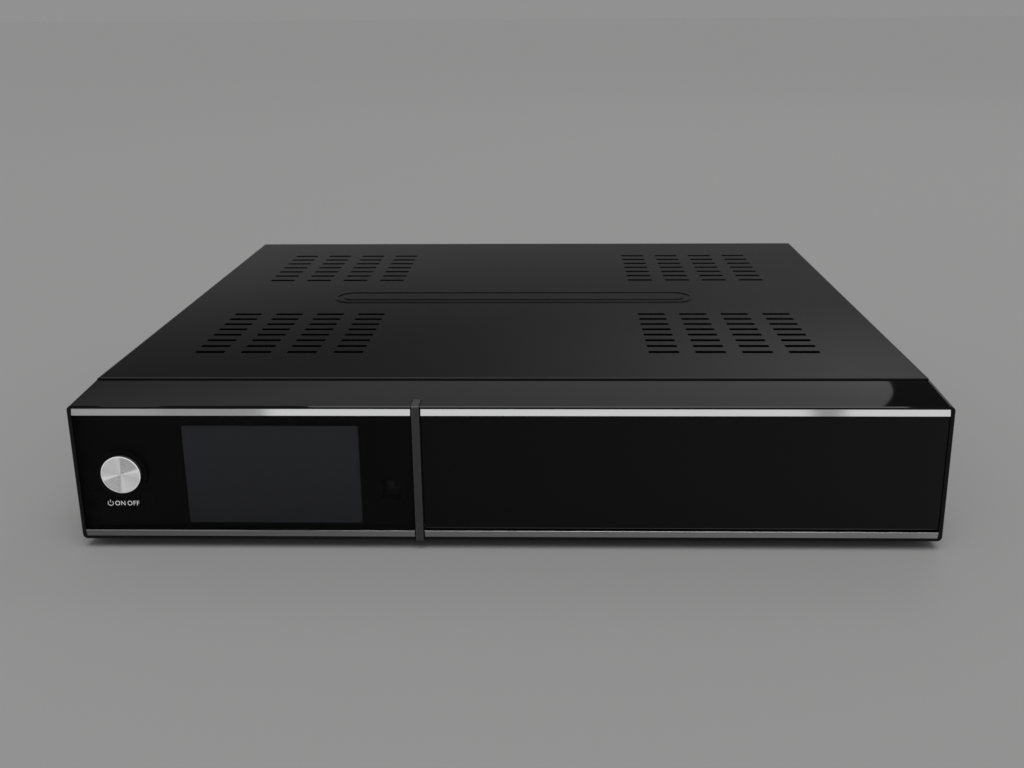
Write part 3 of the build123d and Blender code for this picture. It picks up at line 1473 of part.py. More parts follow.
# ---------------------------------------------------------------- drive tray
z_tray = z_floor + tray_above_floor
with BuildPart() as drive_tray:
    # folded bridge that stands on two long feet
    with BuildSketch(level(z_tray)):
        with Locations((tray_middle_x, y_tray)):
            Rectangle(tray_width, tray_length)
            Rectangle(tray_window_width, tray_window_length, mode=Mode.SUBTRACT)
            with GridLocations(tray_width - tray_foot, tray_length - tray_foot, 2, 2):
                Circle(tray_hole_radius, mode=Mode.SUBTRACT)
    extrude(amount=sheet)
    with BuildSketch(level(z_floor)):
        for tray_edge in (tray_left + sheet / 2, tray_right - sheet / 2):
            with Locations((tray_edge, y_tray)):
                Rectangle(sheet, tray_length)
    extrude(amount=tray_above_floor)
    with BuildSketch(level(z_floor)):
        for tray_edge in (tray_left + tray_foot / 2, tray_right - tray_foot / 2):
            with Locations((tray_edge, y_tray)):
                Rectangle(tray_foot, tray_length)
    extrude(amount=sheet)
drive_tray.part.label = "drive_tray"
export_step(drive_tray.part, "parts/drive_tray.step")

# ---------------------------------------------------------------- ribbon cable
ribbon_start = y_front_board_back
ribbon_end = y_front + ribbon_lands_from_front
with BuildPart() as ribbon_cable:
    # plug at each end, and the flat cable between them in one bend
    with BuildLine():
        FilletPolyline(
            (ribbon_x, ribbon_start + ribbon_plug_depth, ribbon_z),
            (ribbon_x, ribbon_end, ribbon_z),
            (ribbon_x, ribbon_end, z_board_top + ribbon_plug_height),
            radius=ribbon_bend,
        )
    with BuildSketch(across(ribbon_start + ribbon_plug_depth)):
        with Locations((ribbon_x, ribbon_z)):
            Rectangle(ribbon_width, ribbon_thickness)
    sweep()
    with BuildSketch(across(ribbon_start)):
        with Locations((ribbon_x, ribbon_z)):
            Rectangle(ribbon_plug_width, ribbon_plug_height)
    extrude(amount=-ribbon_plug_depth)
    with BuildSketch(level(z_board_top)):
        with Locations((ribbon_x, ribbon_end)):
            Rectangle(ribbon_plug_width, ribbon_plug_depth)
    extrude(amount=ribbon_plug_height)
ribbon_cable.part.label = "ribbon_cable"
export_step(ribbon_cable.part, "parts/ribbon_cable.step")
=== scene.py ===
"""Satellite television receiver: its stage, its finishes and the fine pieces that lie over the solid parts.

Lengths are metres. For someone who faces the front, +X is to the right, +Y to the back and +Z up.
"""
import math

import bmesh
import bpy
from bpy.props import FloatProperty, FloatVectorProperty, IntProperty, PointerProperty, StringProperty
from mathutils import Matrix, Vector


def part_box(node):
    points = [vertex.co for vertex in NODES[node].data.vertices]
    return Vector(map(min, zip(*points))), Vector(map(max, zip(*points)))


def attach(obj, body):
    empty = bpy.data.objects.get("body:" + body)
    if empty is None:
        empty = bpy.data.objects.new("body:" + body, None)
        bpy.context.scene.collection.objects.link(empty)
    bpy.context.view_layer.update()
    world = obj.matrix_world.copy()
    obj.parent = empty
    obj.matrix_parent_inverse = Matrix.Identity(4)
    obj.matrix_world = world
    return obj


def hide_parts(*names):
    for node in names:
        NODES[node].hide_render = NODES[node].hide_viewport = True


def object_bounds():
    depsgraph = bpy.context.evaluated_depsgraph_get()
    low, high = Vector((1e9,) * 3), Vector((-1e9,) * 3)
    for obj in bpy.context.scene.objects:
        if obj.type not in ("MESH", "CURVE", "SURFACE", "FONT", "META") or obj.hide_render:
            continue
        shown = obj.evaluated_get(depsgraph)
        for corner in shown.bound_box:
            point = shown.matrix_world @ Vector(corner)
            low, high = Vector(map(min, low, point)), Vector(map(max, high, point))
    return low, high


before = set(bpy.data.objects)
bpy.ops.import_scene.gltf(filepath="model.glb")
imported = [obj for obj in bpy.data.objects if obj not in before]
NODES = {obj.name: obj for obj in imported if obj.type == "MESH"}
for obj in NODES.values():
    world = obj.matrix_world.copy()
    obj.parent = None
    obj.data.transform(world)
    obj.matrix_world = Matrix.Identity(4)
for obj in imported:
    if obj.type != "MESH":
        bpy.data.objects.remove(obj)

bl_info = {
    "name": "Satellite Receiver",
    "version": (1, 0, 0),
    "blender": (4, 5, 0),
    "location": "View3D > Sidebar > Receiver",
    "description": "Stage, finishes and fine pieces of a desktop satellite television receiver",
    "category": "Object",
}

MM = 0.001
CAD_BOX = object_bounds()
SENSOR_WIDTH = 36.0
WHITE = (1.0, 1.0, 1.0)
ORIGIN, BACK = Vector((0.0, 0.0, 0.0)), Vector((0.0, 1.0, 0.0))

# Corners nearer than this are one corner: in the meshes made here, and in the triangles of the solid parts.
MADE_MERGE, SOLID_MERGE = 0.0005 * MM, 0.001 * MM
SHARP_FROM = math.radians(32)  # edges that turn less are shaded smooth


# ---------------------------------------------------------------- settings
def shade(name, description, default):
    """A colour that a user can change."""
    return FloatVectorProperty(
        name=name, description=description, default=default, min=0.0, max=1.0, subtype="COLOR"
    )


def length(name, description, millimetres, least=0.0):
    """A length that a user can change. It is given in millimetres and kept in metres."""
    return FloatProperty(
        name=name, description=description, default=millimetres * MM, min=least * MM,
        subtype="DISTANCE", unit="LENGTH",
    )


def angle(name, description, degrees):
    """An angle that a user can change. It is given in degrees and kept in radians."""
    return FloatProperty(name=name, description=description, default=math.radians(degrees), subtype="ANGLE")


def power(name, description, watts):
    """The power of a lamp."""
    return FloatProperty(
        name=name, description=description, default=watts, min=0.0, subtype="POWER", unit="POWER"
    )


def level(name, description, default):
    """A plain number that isn't below 0."""
    return FloatProperty(name=name, description=description, default=default, min=0.0)


class StageSettings(bpy.types.PropertyGroup):
    """Floor, light and camera."""

    backdrop_color: shade("Backdrop", "Colour of the floor and of what lies behind it", (0.283, 0.283, 0.282))
    sky_strength: level("Sky", "Even light from all round", 0.42)
    key_strength: level("Key", "Strength of the soft key light, high in front", 1.80)
    key_spread: angle("Key spread", "How wide the key light is", 40)
    right_power: power("Right", "Power of the soft lamp low on the right", 1.5)
    left_power: power("Left", "Power of the soft lamp high on the left", 1.0)
    back_power: power("Back", "Power of the soft lamp behind and to the right", 3.0)
    front_level: level("Front", "Brightness of the low lamps that face the front", 0.4)
    glow: level("Glow", "How much the light round the room varies", 0.8)
    camera_place: FloatVectorProperty(
        name="Camera place", description="Where the camera stands",
        default=(0.0198, -0.5126, 0.2302), subtype="TRANSLATION", unit="LENGTH",
    )
    camera_turn: angle("Camera turn", "How far the camera looks to the left", 1.054)
    camera_tilt: angle("Camera tilt", "How far the camera looks down", 13.46)
    camera_roll: angle("Camera roll", "How far the camera leans to the right", 0.371)
    focal_length: FloatProperty(
        name="Focal length", description="In millimetres on a 36 mm wide sensor", default=32.67, min=1.0,
    )
    picture_drop: level("Picture drop", "Shift of the picture down, as a share of its width", 0.1430)
    picture_side: level("Picture side", "Shift of the picture to the left, as a share of its width", 0.024)


class FinishSettings(bpy.types.PropertyGroup):
    """Colours and surface sizes of the finishes."""

    cover_color: shade("Cover paint", "Satin paint of the steel cover", (0.0088, 0.0088, 0.0093))
    gloss_color: shade("Fascia", "Black of the glossy fascia", (0.0025, 0.0025, 0.0027))
    window_color: shade("Window", "Tint of the smoked window", (0.0016, 0.0016, 0.0020))
    window_density: FloatProperty(
        name="Window density", description="Share of the light that the smoked window holds back",
        default=0.55, min=0.0, max=1.0, subtype="FACTOR",
    )
    display_color: shade("Display", "Display glass while it is switched off", (0.105, 0.108, 0.122))
    trim_color: shade("Strips", "Brushed bright strips along the top", (0.92, 0.92, 0.93))
    # The lower strips are darker copies of the bright strips, which have the same finish: painted shade, made
    # paler towards their right end by painted light.
    low_trim_painted_shade: shade("Lower strips", "Left end of the strips along the lower edge", (0.27, 0.27, 0.27))
    low_trim_end_painted_shade_and_light: shade(
        "Lower strips' right end", "Right end of the strips along the lower edge", (0.56, 0.56, 0.56)
    )
    strap_color: shade("Strap", "Satin graphite of the strap", (0.030, 0.030, 0.031))
    button_color: shade("Button", "Spun aluminium of the button", (0.86, 0.86, 0.87))
    steel_color: shade("Zinc", "Zinc-plated sheet inside and below", (0.46, 0.47, 0.48))
    edge_round: length("Edge round", "Radius to which sheet and moulded edges are eased", 0.25)
    gloss_round: length("Gloss edge round", "Radius to which polished edges are eased", 0.05)


class ButtonSettings(bpy.types.PropertyGroup):
    """Turning marks and rim of the power button."""

    groove_pitch: length("Groove pitch", "From one turning mark to the next", 0.16, least=0.01)
    groove_depth: length("Groove depth", "Depth of the turning marks", 0.03)
    # The cut round the face looks bright because the button's finish paints it bright: a painted highlight.
    rim_width: length("Rim width", "Width of the bright cut round the face", 0.45)
    rim_depth: length("Rim depth", "How far the bright cut falls back from the face", 0.12)
    segments: IntProperty(
        name="Segments", description="Flats round the turned face", default=128, min=16, max=512,
    )


class SocketSettings(bpy.types.PropertyGroup):
    """Screw thread of the aerial sockets, pins of the mains inlet and contacts of the other sockets."""

    thread_pitch: length("Thread pitch", "From one turn of the thread to the next", 0.79, least=0.2)
    thread_depth: length("Thread depth", "From the crest of the thread to its root", 0.40)
    thread_steps: IntProperty(
        name="Thread steps", description="Points on each turn of the thread", default=40, min=8, max=200,
    )
    pin_offset: length("Pin offset", "From the middle of the mains inlet to the axis of each pin", 4.3)
    pin_radius: length("Pin radius", "How far from its axis a pin of the mains inlet is bare metal", 1.25)
    contact_gold: shade("Contacts", "Plating of the contacts", (0.83, 0.61, 0.28))


class ScrewSettings(bpy.types.PropertyGroup):
    """Pan heads of the visible screws."""

    head_radius: length("Head radius", "Radius of a pan head", 2.8, least=0.5)
    head_height: length("Head height", "Height of a pan head", 0.9, least=0.1)
    recess_width: length("Recess width", "Width of each arm of the cross recess", 0.55, least=0.1)
    seed: IntProperty(name="Seed", description="Turns the heads differently", default=7, min=0)


class LabelSettings(bpy.types.PropertyGroup):
    """Printed mark below the button."""

    wording: StringProperty(
        name="Wording", description="Plain words beside the standby mark", default="ON OFF",
    )
    letter_height: length("Letter height", "Height of the capitals", 2.2, least=0.1)
    below_button: length("Below button", "From the button's middle down to the middle of the words", 13.9)
    ink_color: shade("Ink", "Colour of the print", (0.95, 0.95, 0.95))


# ---------------------------------------------------------------- node trees
class Value:
    """A value that changes over a surface: arithmetic on it adds Math nodes to its tree."""

    def __init__(self, nodes, socket):
        self.nodes = nodes
        self.socket = socket

    def _math(self, operation, *operands):
        return self.nodes.node("ShaderNodeMath", dict(enumerate(operands)), operation=operation)

    def __add__(self, other):
        return self._math("ADD", self, other)

    __radd__ = __add__

    def __sub__(self, other):
        return self._math("SUBTRACT", self, other)

    def __rsub__(self, other):
        return self._math("SUBTRACT", other, self)

    def __mul__(self, other):
        return self._math("MULTIPLY", self, other)

    __rmul__ = __mul__

    def __truediv__(self, other):
        return self._math("DIVIDE", self, other)

    def __pow__(self, other):
        return self._math("POWER", self, other)

    def __gt__(self, other):
        return self._math("GREATER_THAN", self, other)

    def __lt__(self, other):
        return self._math("LESS_THAN", self, other)


class NodeBuilder:
    """Adds nodes to one tree and hands back their outputs as values."""

    def __init__(self, tree):
        self.tree = tree
        tree.nodes.clear()

    def node(self, kind, inputs=(), output=0, **settings):
        """Adds a node. Its settings are set first, and then the values or links of its inputs."""
        made = self.tree.nodes.new(kind)
        for name, setting in settings.items():
            if name == "stops":
                set_stops(made.color_ramp, setting)
            else:
                setattr(made, name, setting)
        for key, given in dict(inputs).items():
            if isinstance(given, Value):
                self.tree.links.new(given.socket, made.inputs[key])
            else:
                made.inputs[key].default_value = given
        return Value(self, made.outputs[output]) if made.outputs else None

    def clamped(self, value):
        """The value, held between 0 and 1."""
        return self.node("ShaderNodeClamp", {0: value})

    def rise(self, value, start, slope):
        """0 until the value passes a start, then up to 1 at a slope. A slope below 0 works the other way."""
        return self.clamped((value - start) * slope)

    def axis(self, vector, letter):
        """One coordinate of a place or a direction."""
        return self.node("ShaderNodeSeparateXYZ", {0: vector}, output=letter)


def toned(color, factor):
    """A colour made darker or paler by a factor."""
    return [min(1.0, factor * part) for part in color]


def set_stops(ramp, stops):
    """Puts (position, grey) stops on a colour ramp."""
    while len(ramp.elements) < len(stops):
        ramp.elements.new(1.0)
    for element, (position, grey) in zip(ramp.elements, stops):
        element.position = position
        element.color = (grey, grey, grey, 1.0)


class Finish(NodeBuilder):
    """One material. `node` adds any node, and the other methods name the few that are used often."""

    def __init__(self, name):
        self.material = bpy.data.materials.new(name)
        self.material.use_nodes = True
        super().__init__(self.material.node_tree)

    def place(self, scale=(1.0, 1.0, 1.0), centre=(0.0, 0.0, 0.0)):
        """The place on the object from a centre, stretched along each axis."""
        here = self.node("ShaderNodeTexCoord", output="Object")
        return self.node("ShaderNodeMapping", {
            "Vector": here, "Scale": scale, "Location": [-c * s for c, s in zip(centre, scale)]
        })

    def noise(self, size, detail=2.0, stretch=(1.0, 1.0, 1.0)):
        """Noise from 0 to 1 whose patches are about `size` across."""
        return self.node("ShaderNodeTexNoise", {
            "Vector": self.place(stretch), "Scale": 1.0 / size, "Detail": detail
        })

    def between(self, mask, low, high):
        """A colour that goes from low to high with the mask."""
        low, high = (end if isinstance(end, Value) else (*end, 1.0) for end in (low, high))
        return self.node("ShaderNodeMix", {0: mask, 6: low, 7: high}, output=2, data_type="RGBA")

    def eased(self, radius):
        """A normal that rounds sharp edges to a radius."""
        return self.node("ShaderNodeBevel", {"Radius": radius}, samples=6)

    def edges(self, radius):
        """1 on sharp edges and 0 on flat faces: the mask for edges that are painted paler, as painted
        highlight.
        """
        flat = self.node("ShaderNodeNewGeometry", output="Normal")
        same_way = self.node(
            "ShaderNodeVectorMath", {0: flat, 1: self.eased(radius)}, output="Value", operation="DOT_PRODUCT"
        )
        return self.clamped((1.0 - same_way) * 8.0)

    def relief(self, height, depth, normal=None):
        """A normal that follows a height from 0 to 1 over a depth."""
        sockets = {"Height": height, "Distance": depth}
        if normal is not None:
            sockets["Normal"] = normal
        return self.node("ShaderNodeBump", sockets)

    def surface(self, color, **sockets):
        """Closes the material with its shader, and returns the material."""
        given = {"Base Color": color if isinstance(color, Value) else (*color, 1.0)}
        given.update({name.replace("_", " "): value for name, value in sockets.items()})
        shader = self.node("ShaderNodeBsdfPrincipled", given)
        self.node("ShaderNodeOutputMaterial", {"Surface": shader})
        return self.material


class Pattern(NodeBuilder):
    """A geometry tree with named sizes. It ends in real geometry with a material."""

    def __init__(self, name, **sizes):
        super().__init__(bpy.data.node_groups.new(name, "GeometryNodeTree"))
        kinds = {float: "NodeSocketFloat", int: "NodeSocketInt"}
        interface = self.tree.interface
        interface.new_socket("Geometry", in_out="INPUT", socket_type="NodeSocketGeometry")
        interface.new_socket("Geometry", in_out="OUTPUT", socket_type="NodeSocketGeometry")
        self.sizes = sizes
        self.keys = {
            size: interface.new_socket(size, in_out="INPUT", socket_type=kinds[type(default)]).identifier
            for size, default in sizes.items()
        }
        self.entry = self.tree.nodes.new("NodeGroupInput")

    def size(self, name):
        """A named size of the pattern, or the geometry that it starts from."""
        return Value(self, self.entry.outputs[name])

    def vector(self, x=0.0, y=0.0, z=0.0):
        """A vector from three numbers or sizes."""
        return self.node("ShaderNodeCombineXYZ", {0: x, 1: y, 2: z})

    def lay(self, name, base, shape, material, body):
        """Ends the tree with a shape, runs it on a base, and leaves a plain piece that rides on a body."""
        real = self.node("GeometryNodeRealizeInstances", {0: shape})
        painted = self.node("GeometryNodeSetMaterial", {"Geometry": real, "Material": material})
        self.node("NodeGroupOutput", {0: painted})
        source = put(f"{name}_source", base)
        modifier = source.modifiers.new(name, "NODES")
        modifier.node_group = self.tree
        for size, default in self.sizes.items():
            modifier[self.keys[size]] = default
        return place_piece(name, plain_mesh(source), body)


# ---------------------------------------------------------------- mesh helpers
def put(name, data):
    """Adds a new object to the scene."""
    made = bpy.data.objects.new(name, data)
    bpy.context.scene.collection.objects.link(made)
    return made


def plain_mesh(holder):
    """Turns an object into its finished mesh and removes the object."""
    mesh = bpy.data.meshes.new_from_object(holder.evaluated_get(bpy.context.evaluated_depsgraph_get()))
    bpy.data.objects.remove(holder)
    return mesh


def place_piece(name, mesh, body, material=None):
    """Puts a finished mesh into the scene as a piece that rides on a body."""
    mesh.name = name
    if material is not None:
        mesh.materials.clear()
        mesh.materials.append(material)
    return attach(put(name, mesh), body)


def midpoint(low, high):
    """The middle of a box."""
    return (Vector(low) + Vector(high)) / 2


def mesh_from(make):
    """A mesh made by a function that fills a bmesh, with its normals outwards and its soft edges smooth."""
    shape = bmesh.new()
    make(shape)
    bmesh.ops.remove_doubles(shape, verts=shape.verts, dist=MADE_MERGE)
    bmesh.ops.recalc_face_normals(shape, faces=shape.faces)
    mesh = bpy.data.meshes.new("shape")
    shape.to_mesh(mesh)
    shape.free()
    mesh.shade_smooth()
    mesh.set_sharp_from_angle(angle=SHARP_FROM)
    return mesh


def turned(profile, centre, segments):
    """A solid turned about a line that runs to the back: (radius, depth) points from face to back."""
    turns = [math.tau * step / segments for step in range(segments)]

    def ring(shape, radius, depth):
        if radius == 0:
            return [shape.verts.new((centre.x, centre.y + depth, centre.z))] * segments
        return [
            shape.verts.new((
                centre.x + radius * math.cos(turn), centre.y + depth, centre.z + radius * math.sin(turn)
            )) for turn in turns
        ]

    def make(shape):
        rings = [ring(shape, radius, depth) for radius, depth in profile]
        for near, far in zip(rings, rings[1:]):
            for step in range(segments):
                after = (step + 1) % segments
                corners = [near[step], near[after], far[after], far[step]]
                shape.faces.new(list(dict.fromkeys(corners)))

    return mesh_from(make)


def islands(name):
    """The boxes of the separate solids of a part, from left to right."""
    shape = bmesh.new()
    shape.from_mesh(NODES[name].data)
    bmesh.ops.remove_doubles(shape, verts=shape.verts, dist=SOLID_MERGE)
    left = set(shape.verts)
    boxes = []
    while left:
        reached, front = set(), [left.pop()]
        while front:
            vert = front.pop()
            reached.add(vert)
            near = {edge.other_vert(vert) for edge in vert.link_edges} & left
            left -= near
            front.extend(near)
        places = [vert.co for vert in reached]
        boxes.append(tuple(Vector(pick(p[i] for p in places) for i in range(3)) for pick in (min, max)))
    shape.free()
    return sorted(boxes, key=lambda box: tuple(round(value, 5) for value in box[0]))


def seats(places, facings):
    """A mesh of loose points with the way each one faces, for a pattern to stand on."""
    mesh = bpy.data.meshes.new("seats")
    mesh.from_pydata([tuple(place) for place in places], [], [])
    facing = mesh.attributes.new("facing", "FLOAT_VECTOR", "POINT")
    facing.data.foreach_set("vector", [value for vector in facings for value in vector])
    return mesh


def dress(material, *names):
    """Gives solid parts their finish."""
    for name in names:
        data = NODES[name].data
        data.materials.clear()
        data.materials.append(material)


# ---------------------------------------------------------------- finishes
SATIN_GRAIN = 0.25 * MM
# Fan-shaped painted highlights on the button, in place of the light that its turning marks reflect, twice
# round: how far through half a turn, how bright.
PAINTED_FAN_STOPS = (
    (0.0, 0.78), (0.12, 0.70), (0.42, 0.55), (0.52, 0.72), (0.56, 1.0),
    (0.595, 1.0), (0.63, 0.35), (0.68, 0.16), (0.95, 0.08), (0.99, 0.55),
)


def cover_paint(look, low, high):
    """Satin powder coat: a fine grain, a gloss that drifts a little over the sheet, paler edges that are a
    painted highlight and also stand for thin worn paint, and a painted highlight along the top of the front
    lip. The walls of the slots, well inside the cover's box, are painted near black: painted shade."""
    lip_depth, lip_height = 0.5 * MM, 0.85 * MM
    slot_margin, slot_side_margin, slot_depth = 1.5 * MM, 3.0 * MM, 1.5 * MM
    # Colours of the painted edge highlight and of the painted shade inside the slots.
    edge_highlight_paint, slot_shade_black = (0.036, 0.036, 0.037), (0.001, 0.001, 0.001)
    finish = Finish("cover_paint")
    grain = finish.noise(0.30 * MM, detail=3.0)
    drift = finish.noise(70 * MM)
    paint = finish.between(drift, toned(look.cover_color, 0.9), toned(look.cover_color, 1.1))
    place = finish.place()
    along, height = finish.axis(place, "Y"), finish.axis(place, "Z")
    # Painted highlight: the top of the front lip is painted paler.
    lip = (along < low.y + lip_depth) * (height > high.z - lip_height)
    # Painted highlight: sharp edges are painted paler as well, which also stands for thin worn paint.
    painted_edge_highlight = finish.clamped(0.35 * finish.edges(0.5 * MM) + 0.8 * lip)
    facing = finish.axis(finish.node("ShaderNodeNewGeometry", output="True Normal"), "Z")
    across = finish.node("ShaderNodeMath", {0: finish.axis(place, "X")}, operation="ABSOLUTE")
    lengthwise = (along > low.y + slot_margin) * (along < high.y - slot_margin)
    inside = lengthwise * (across < high.x - slot_side_margin)
    # Painted shade: the walls of the slots are painted near black so that the slots look dark.
    painted_slot_shade = inside * (height > high.z - slot_depth) * (facing < 0.5)
    tint = finish.between(painted_slot_shade, finish.between(painted_edge_highlight, paint, edge_highlight_paint), slot_shade_black)
    normal = finish.relief(grain, 0.005 * MM, finish.eased(look.edge_round))
    return finish.surface(tint, Roughness=0.15 + 0.04 * drift, Specular_IOR_Level=0.07, Normal=normal)


def gloss_black(name, color, look, painted_light_and_room_haze=(0.0, 0.0), span=0.1, gloss=0.22, **sockets):
    """Polished moulding: near black, with faint waves, hairlines, dust and, where a ramp is given, painted
    light that grows to the right.
    """
    finish = Finish(name)
    # Painted light: the two given amounts make the black darker at the left and paler at the right.
    along = finish.clamped(0.5 + finish.axis(finish.place(), "X") / span)
    left, right = ([part + added for part in color] for added in painted_light_and_room_haze)
    tint = finish.between(along, left, right)
    waves = finish.noise(11 * MM, detail=1.0)
    hairlines = finish.noise(0.4 * MM, detail=4.0, stretch=(0.05, 1.0, 1.0))
    dust = (finish.noise(0.9 * MM, detail=4.0) > 0.74) * 0.03
    normal = finish.relief(waves, 0.0015 * MM, finish.eased(look.gloss_round))
    return finish.surface(
        tint, Roughness=0.02 + 0.02 * hairlines + dust, Specular_IOR_Level=gloss, Normal=normal, **sockets
    )


def brushed_trim(name, color, right_color, span):
    """Bright strip, brushed along its length, whose tone shifts from its left to its right end: painted light
    where the ends differ.
    """
    finish = Finish(name)
    lines = finish.noise(0.05 * MM, detail=3.0, stretch=(0.004, 1.0, 1.0))
    normal = finish.relief(lines, 0.002 * MM, finish.eased(0.12 * MM))
    # Painted light: the tone runs from the left end's colour to the right end's colour.
    along = finish.clamped(0.5 + finish.axis(finish.place(), "X") / span)
    left, right = (finish.between(lines, toned(tone, 0.88), tone) for tone in (color, right_color))
    return finish.surface(
        finish.between(along, left, right), Metallic=1.0, Roughness=0.05 + 0.06 * lines, Normal=normal
    )


def spun_aluminium(look, button, centre, rim_radius):
    """Turned face: rings about the middle of the button, unevenly deep, fan-shaped painted highlights, a
    painted highlight on the rim and painted shade on the side below it.
    """
    finish = Finish("spun_aluminium")
    place = finish.place(centre=centre)
    across, up = finish.axis(place, "X"), finish.axis(place, "Z")
    radius = (across * across + up * up) ** 0.5
    bearing = finish.node("ShaderNodeMath", {0: up, 1: across}, operation="ARCTAN2")
    uneven = finish.node("ShaderNodeTexNoise", {
        "W": radius / button.groove_pitch, "Scale": 1.0, "Detail": 3.0
    }, noise_dimensions="1D")
    phase = radius * (math.tau / button.groove_pitch)
    rings = finish.node("ShaderNodeMath", {0: phase}, operation="SINE")
    normal = finish.relief(0.3 * rings + uneven, button.groove_depth)
    half_turn = (bearing - math.pi / 2) * (1 / math.pi) + 2.0
    share = finish.node("ShaderNodeMath", {0: half_turn}, operation="FRACT")
    # Painted highlights: bright fan-shaped sectors, twice round, painted into the colour and the metal
    # amount.
    painted_fans = finish.node("ShaderNodeValToRGB", {0: share}, stops=PAINTED_FAN_STOPS)
    rim = radius > rim_radius
    # Painted highlight: the rim round the face is painted bright.
    painted_sheen = finish.clamped(painted_fans + 0.9 * rim)
    face = finish.between(painted_sheen, toned(look.button_color, 0.94), WHITE)
    # Painted shade: the side of the cap below its rim, in the gap round the button, is painted dark.
    painted_shade_below_rim = rim * (finish.axis(place, "Y") > 1.1 * button.rim_depth)
    tint = finish.between(painted_shade_below_rim, face, (0.05, 0.05, 0.05))
    return finish.surface(tint, Metallic=0.9 - 0.9 * painted_sheen, Roughness=0.20 + 0.10 * uneven, Normal=normal)


def satin(name, color, look, roughness=0.42, grain_depth=0.004 * MM, painted_edge_highlight=None, **sockets):
    """Satin paint or fine moulded grain. Where a paler colour is given, its edges are painted paler: a
    painted highlight.
    """
    finish = Finish(name)
    grain = finish.noise(SATIN_GRAIN, detail=3.0)
    drift = finish.noise(25 * MM)
    tint = finish.between(drift, toned(color, 0.88), toned(color, 1.12))
    if painted_edge_highlight is not None:
        # Painted highlight along the edges.
        tint = finish.between(finish.edges(0.35 * MM), tint, painted_edge_highlight)
    normal = finish.relief(grain, grain_depth, finish.eased(look.edge_round))
    return finish.surface(tint, Roughness=roughness - 0.04 + 0.08 * drift, Normal=normal, **sockets)


def inlet_moulding(look, middle, pin_offset, pin_radius):
    """Black moulding of the mains inlet, with its two bare pins."""
    finish = Finish("inlet_moulding")
    grain = finish.noise(SATIN_GRAIN, detail=3.0)
    place = finish.place(centre=middle)
    across, up = finish.axis(place, "X"), finish.axis(place, "Z")
    aside = finish.node("ShaderNodeMath", {0: across}, operation="ABSOLUTE") - pin_offset
    pin = (aside * aside + up * up) ** 0.5 < pin_radius
    plastic = finish.between(grain, (0.040, 0.040, 0.041), (0.050, 0.050, 0.051))
    tint = finish.between(pin, plastic, (0.66, 0.64, 0.60))
    normal = finish.relief(grain, 0.004 * MM, finish.eased(look.edge_round))
    return finish.surface(tint, Metallic=pin, Roughness=0.34 - 0.12 * pin, Normal=normal)


def rolled_metal(name, color, look, roughness=0.34):
    """Bare or plated metal with rolling marks and a clouded gloss."""
    finish = Finish(name)
    marks = finish.noise(0.2 * MM, detail=3.0, stretch=(0.02, 1.0, 1.0))
    cloud = finish.noise(9 * MM, detail=3.0)
    tint = finish.between(cloud, toned(color, 0.84), color)
    normal = finish.relief(marks, 0.003 * MM, finish.eased(look.edge_round))
    return finish.surface(tint, Metallic=1.0, Roughness=roughness - 0.08 + 0.16 * cloud, Normal=normal)


def display_glass(look, low, high):
    """Display that is switched off: a grey cell with fine rows, painted paler towards its top and darker
    towards its bottom: painted light and shade.
    """
    finish = Finish("display_glass")
    rows = finish.node("ShaderNodeTexWave", {
        "Vector": finish.place(), "Scale": 1.0 / (4 * MM)
    }, bands_direction="Z")
    height = finish.axis(finish.place(centre=(0.0, 0.0, low)), "Z") / (high - low)
    # Painted light and shade: darker at the bottom of the cell and paler at its top.
    dark, painted_light_top = toned(look.display_color, 0.7), toned(look.display_color, 1.15)
    tint = finish.between(0.1 * rows + 0.9 * height, dark, painted_light_top)
    return finish.surface(tint, Roughness=0.30, Specular_IOR_Level=0.3)


def circuit_board(name, mask, track, look):
    """Solder mask over copper: tracks show as slightly paler, raised paths."""
    finish = Finish(name)
    cells = finish.node("ShaderNodeTexVoronoi", {
        "Vector": finish.place(), "Scale": 1.0 / (3.5 * MM), "Randomness": 0.7
    }, distance="MANHATTAN", feature="F1")
    tracks = finish.node("ShaderNodeValToRGB", {0: cells}, stops=((0.30, 0.0), (0.36, 1.0)))
    normal = finish.relief(tracks, 0.03 * MM, finish.eased(look.edge_round))
    return finish.surface(finish.between(tracks, mask, track), Roughness=0.36, Normal=normal)


def ink(color):
    """Screen print."""
    finish = Finish("ink")
    speckle = finish.noise(0.15 * MM, detail=2.0)
    return finish.surface(finish.between(speckle, toned(color, 0.85), color), Roughness=0.5)


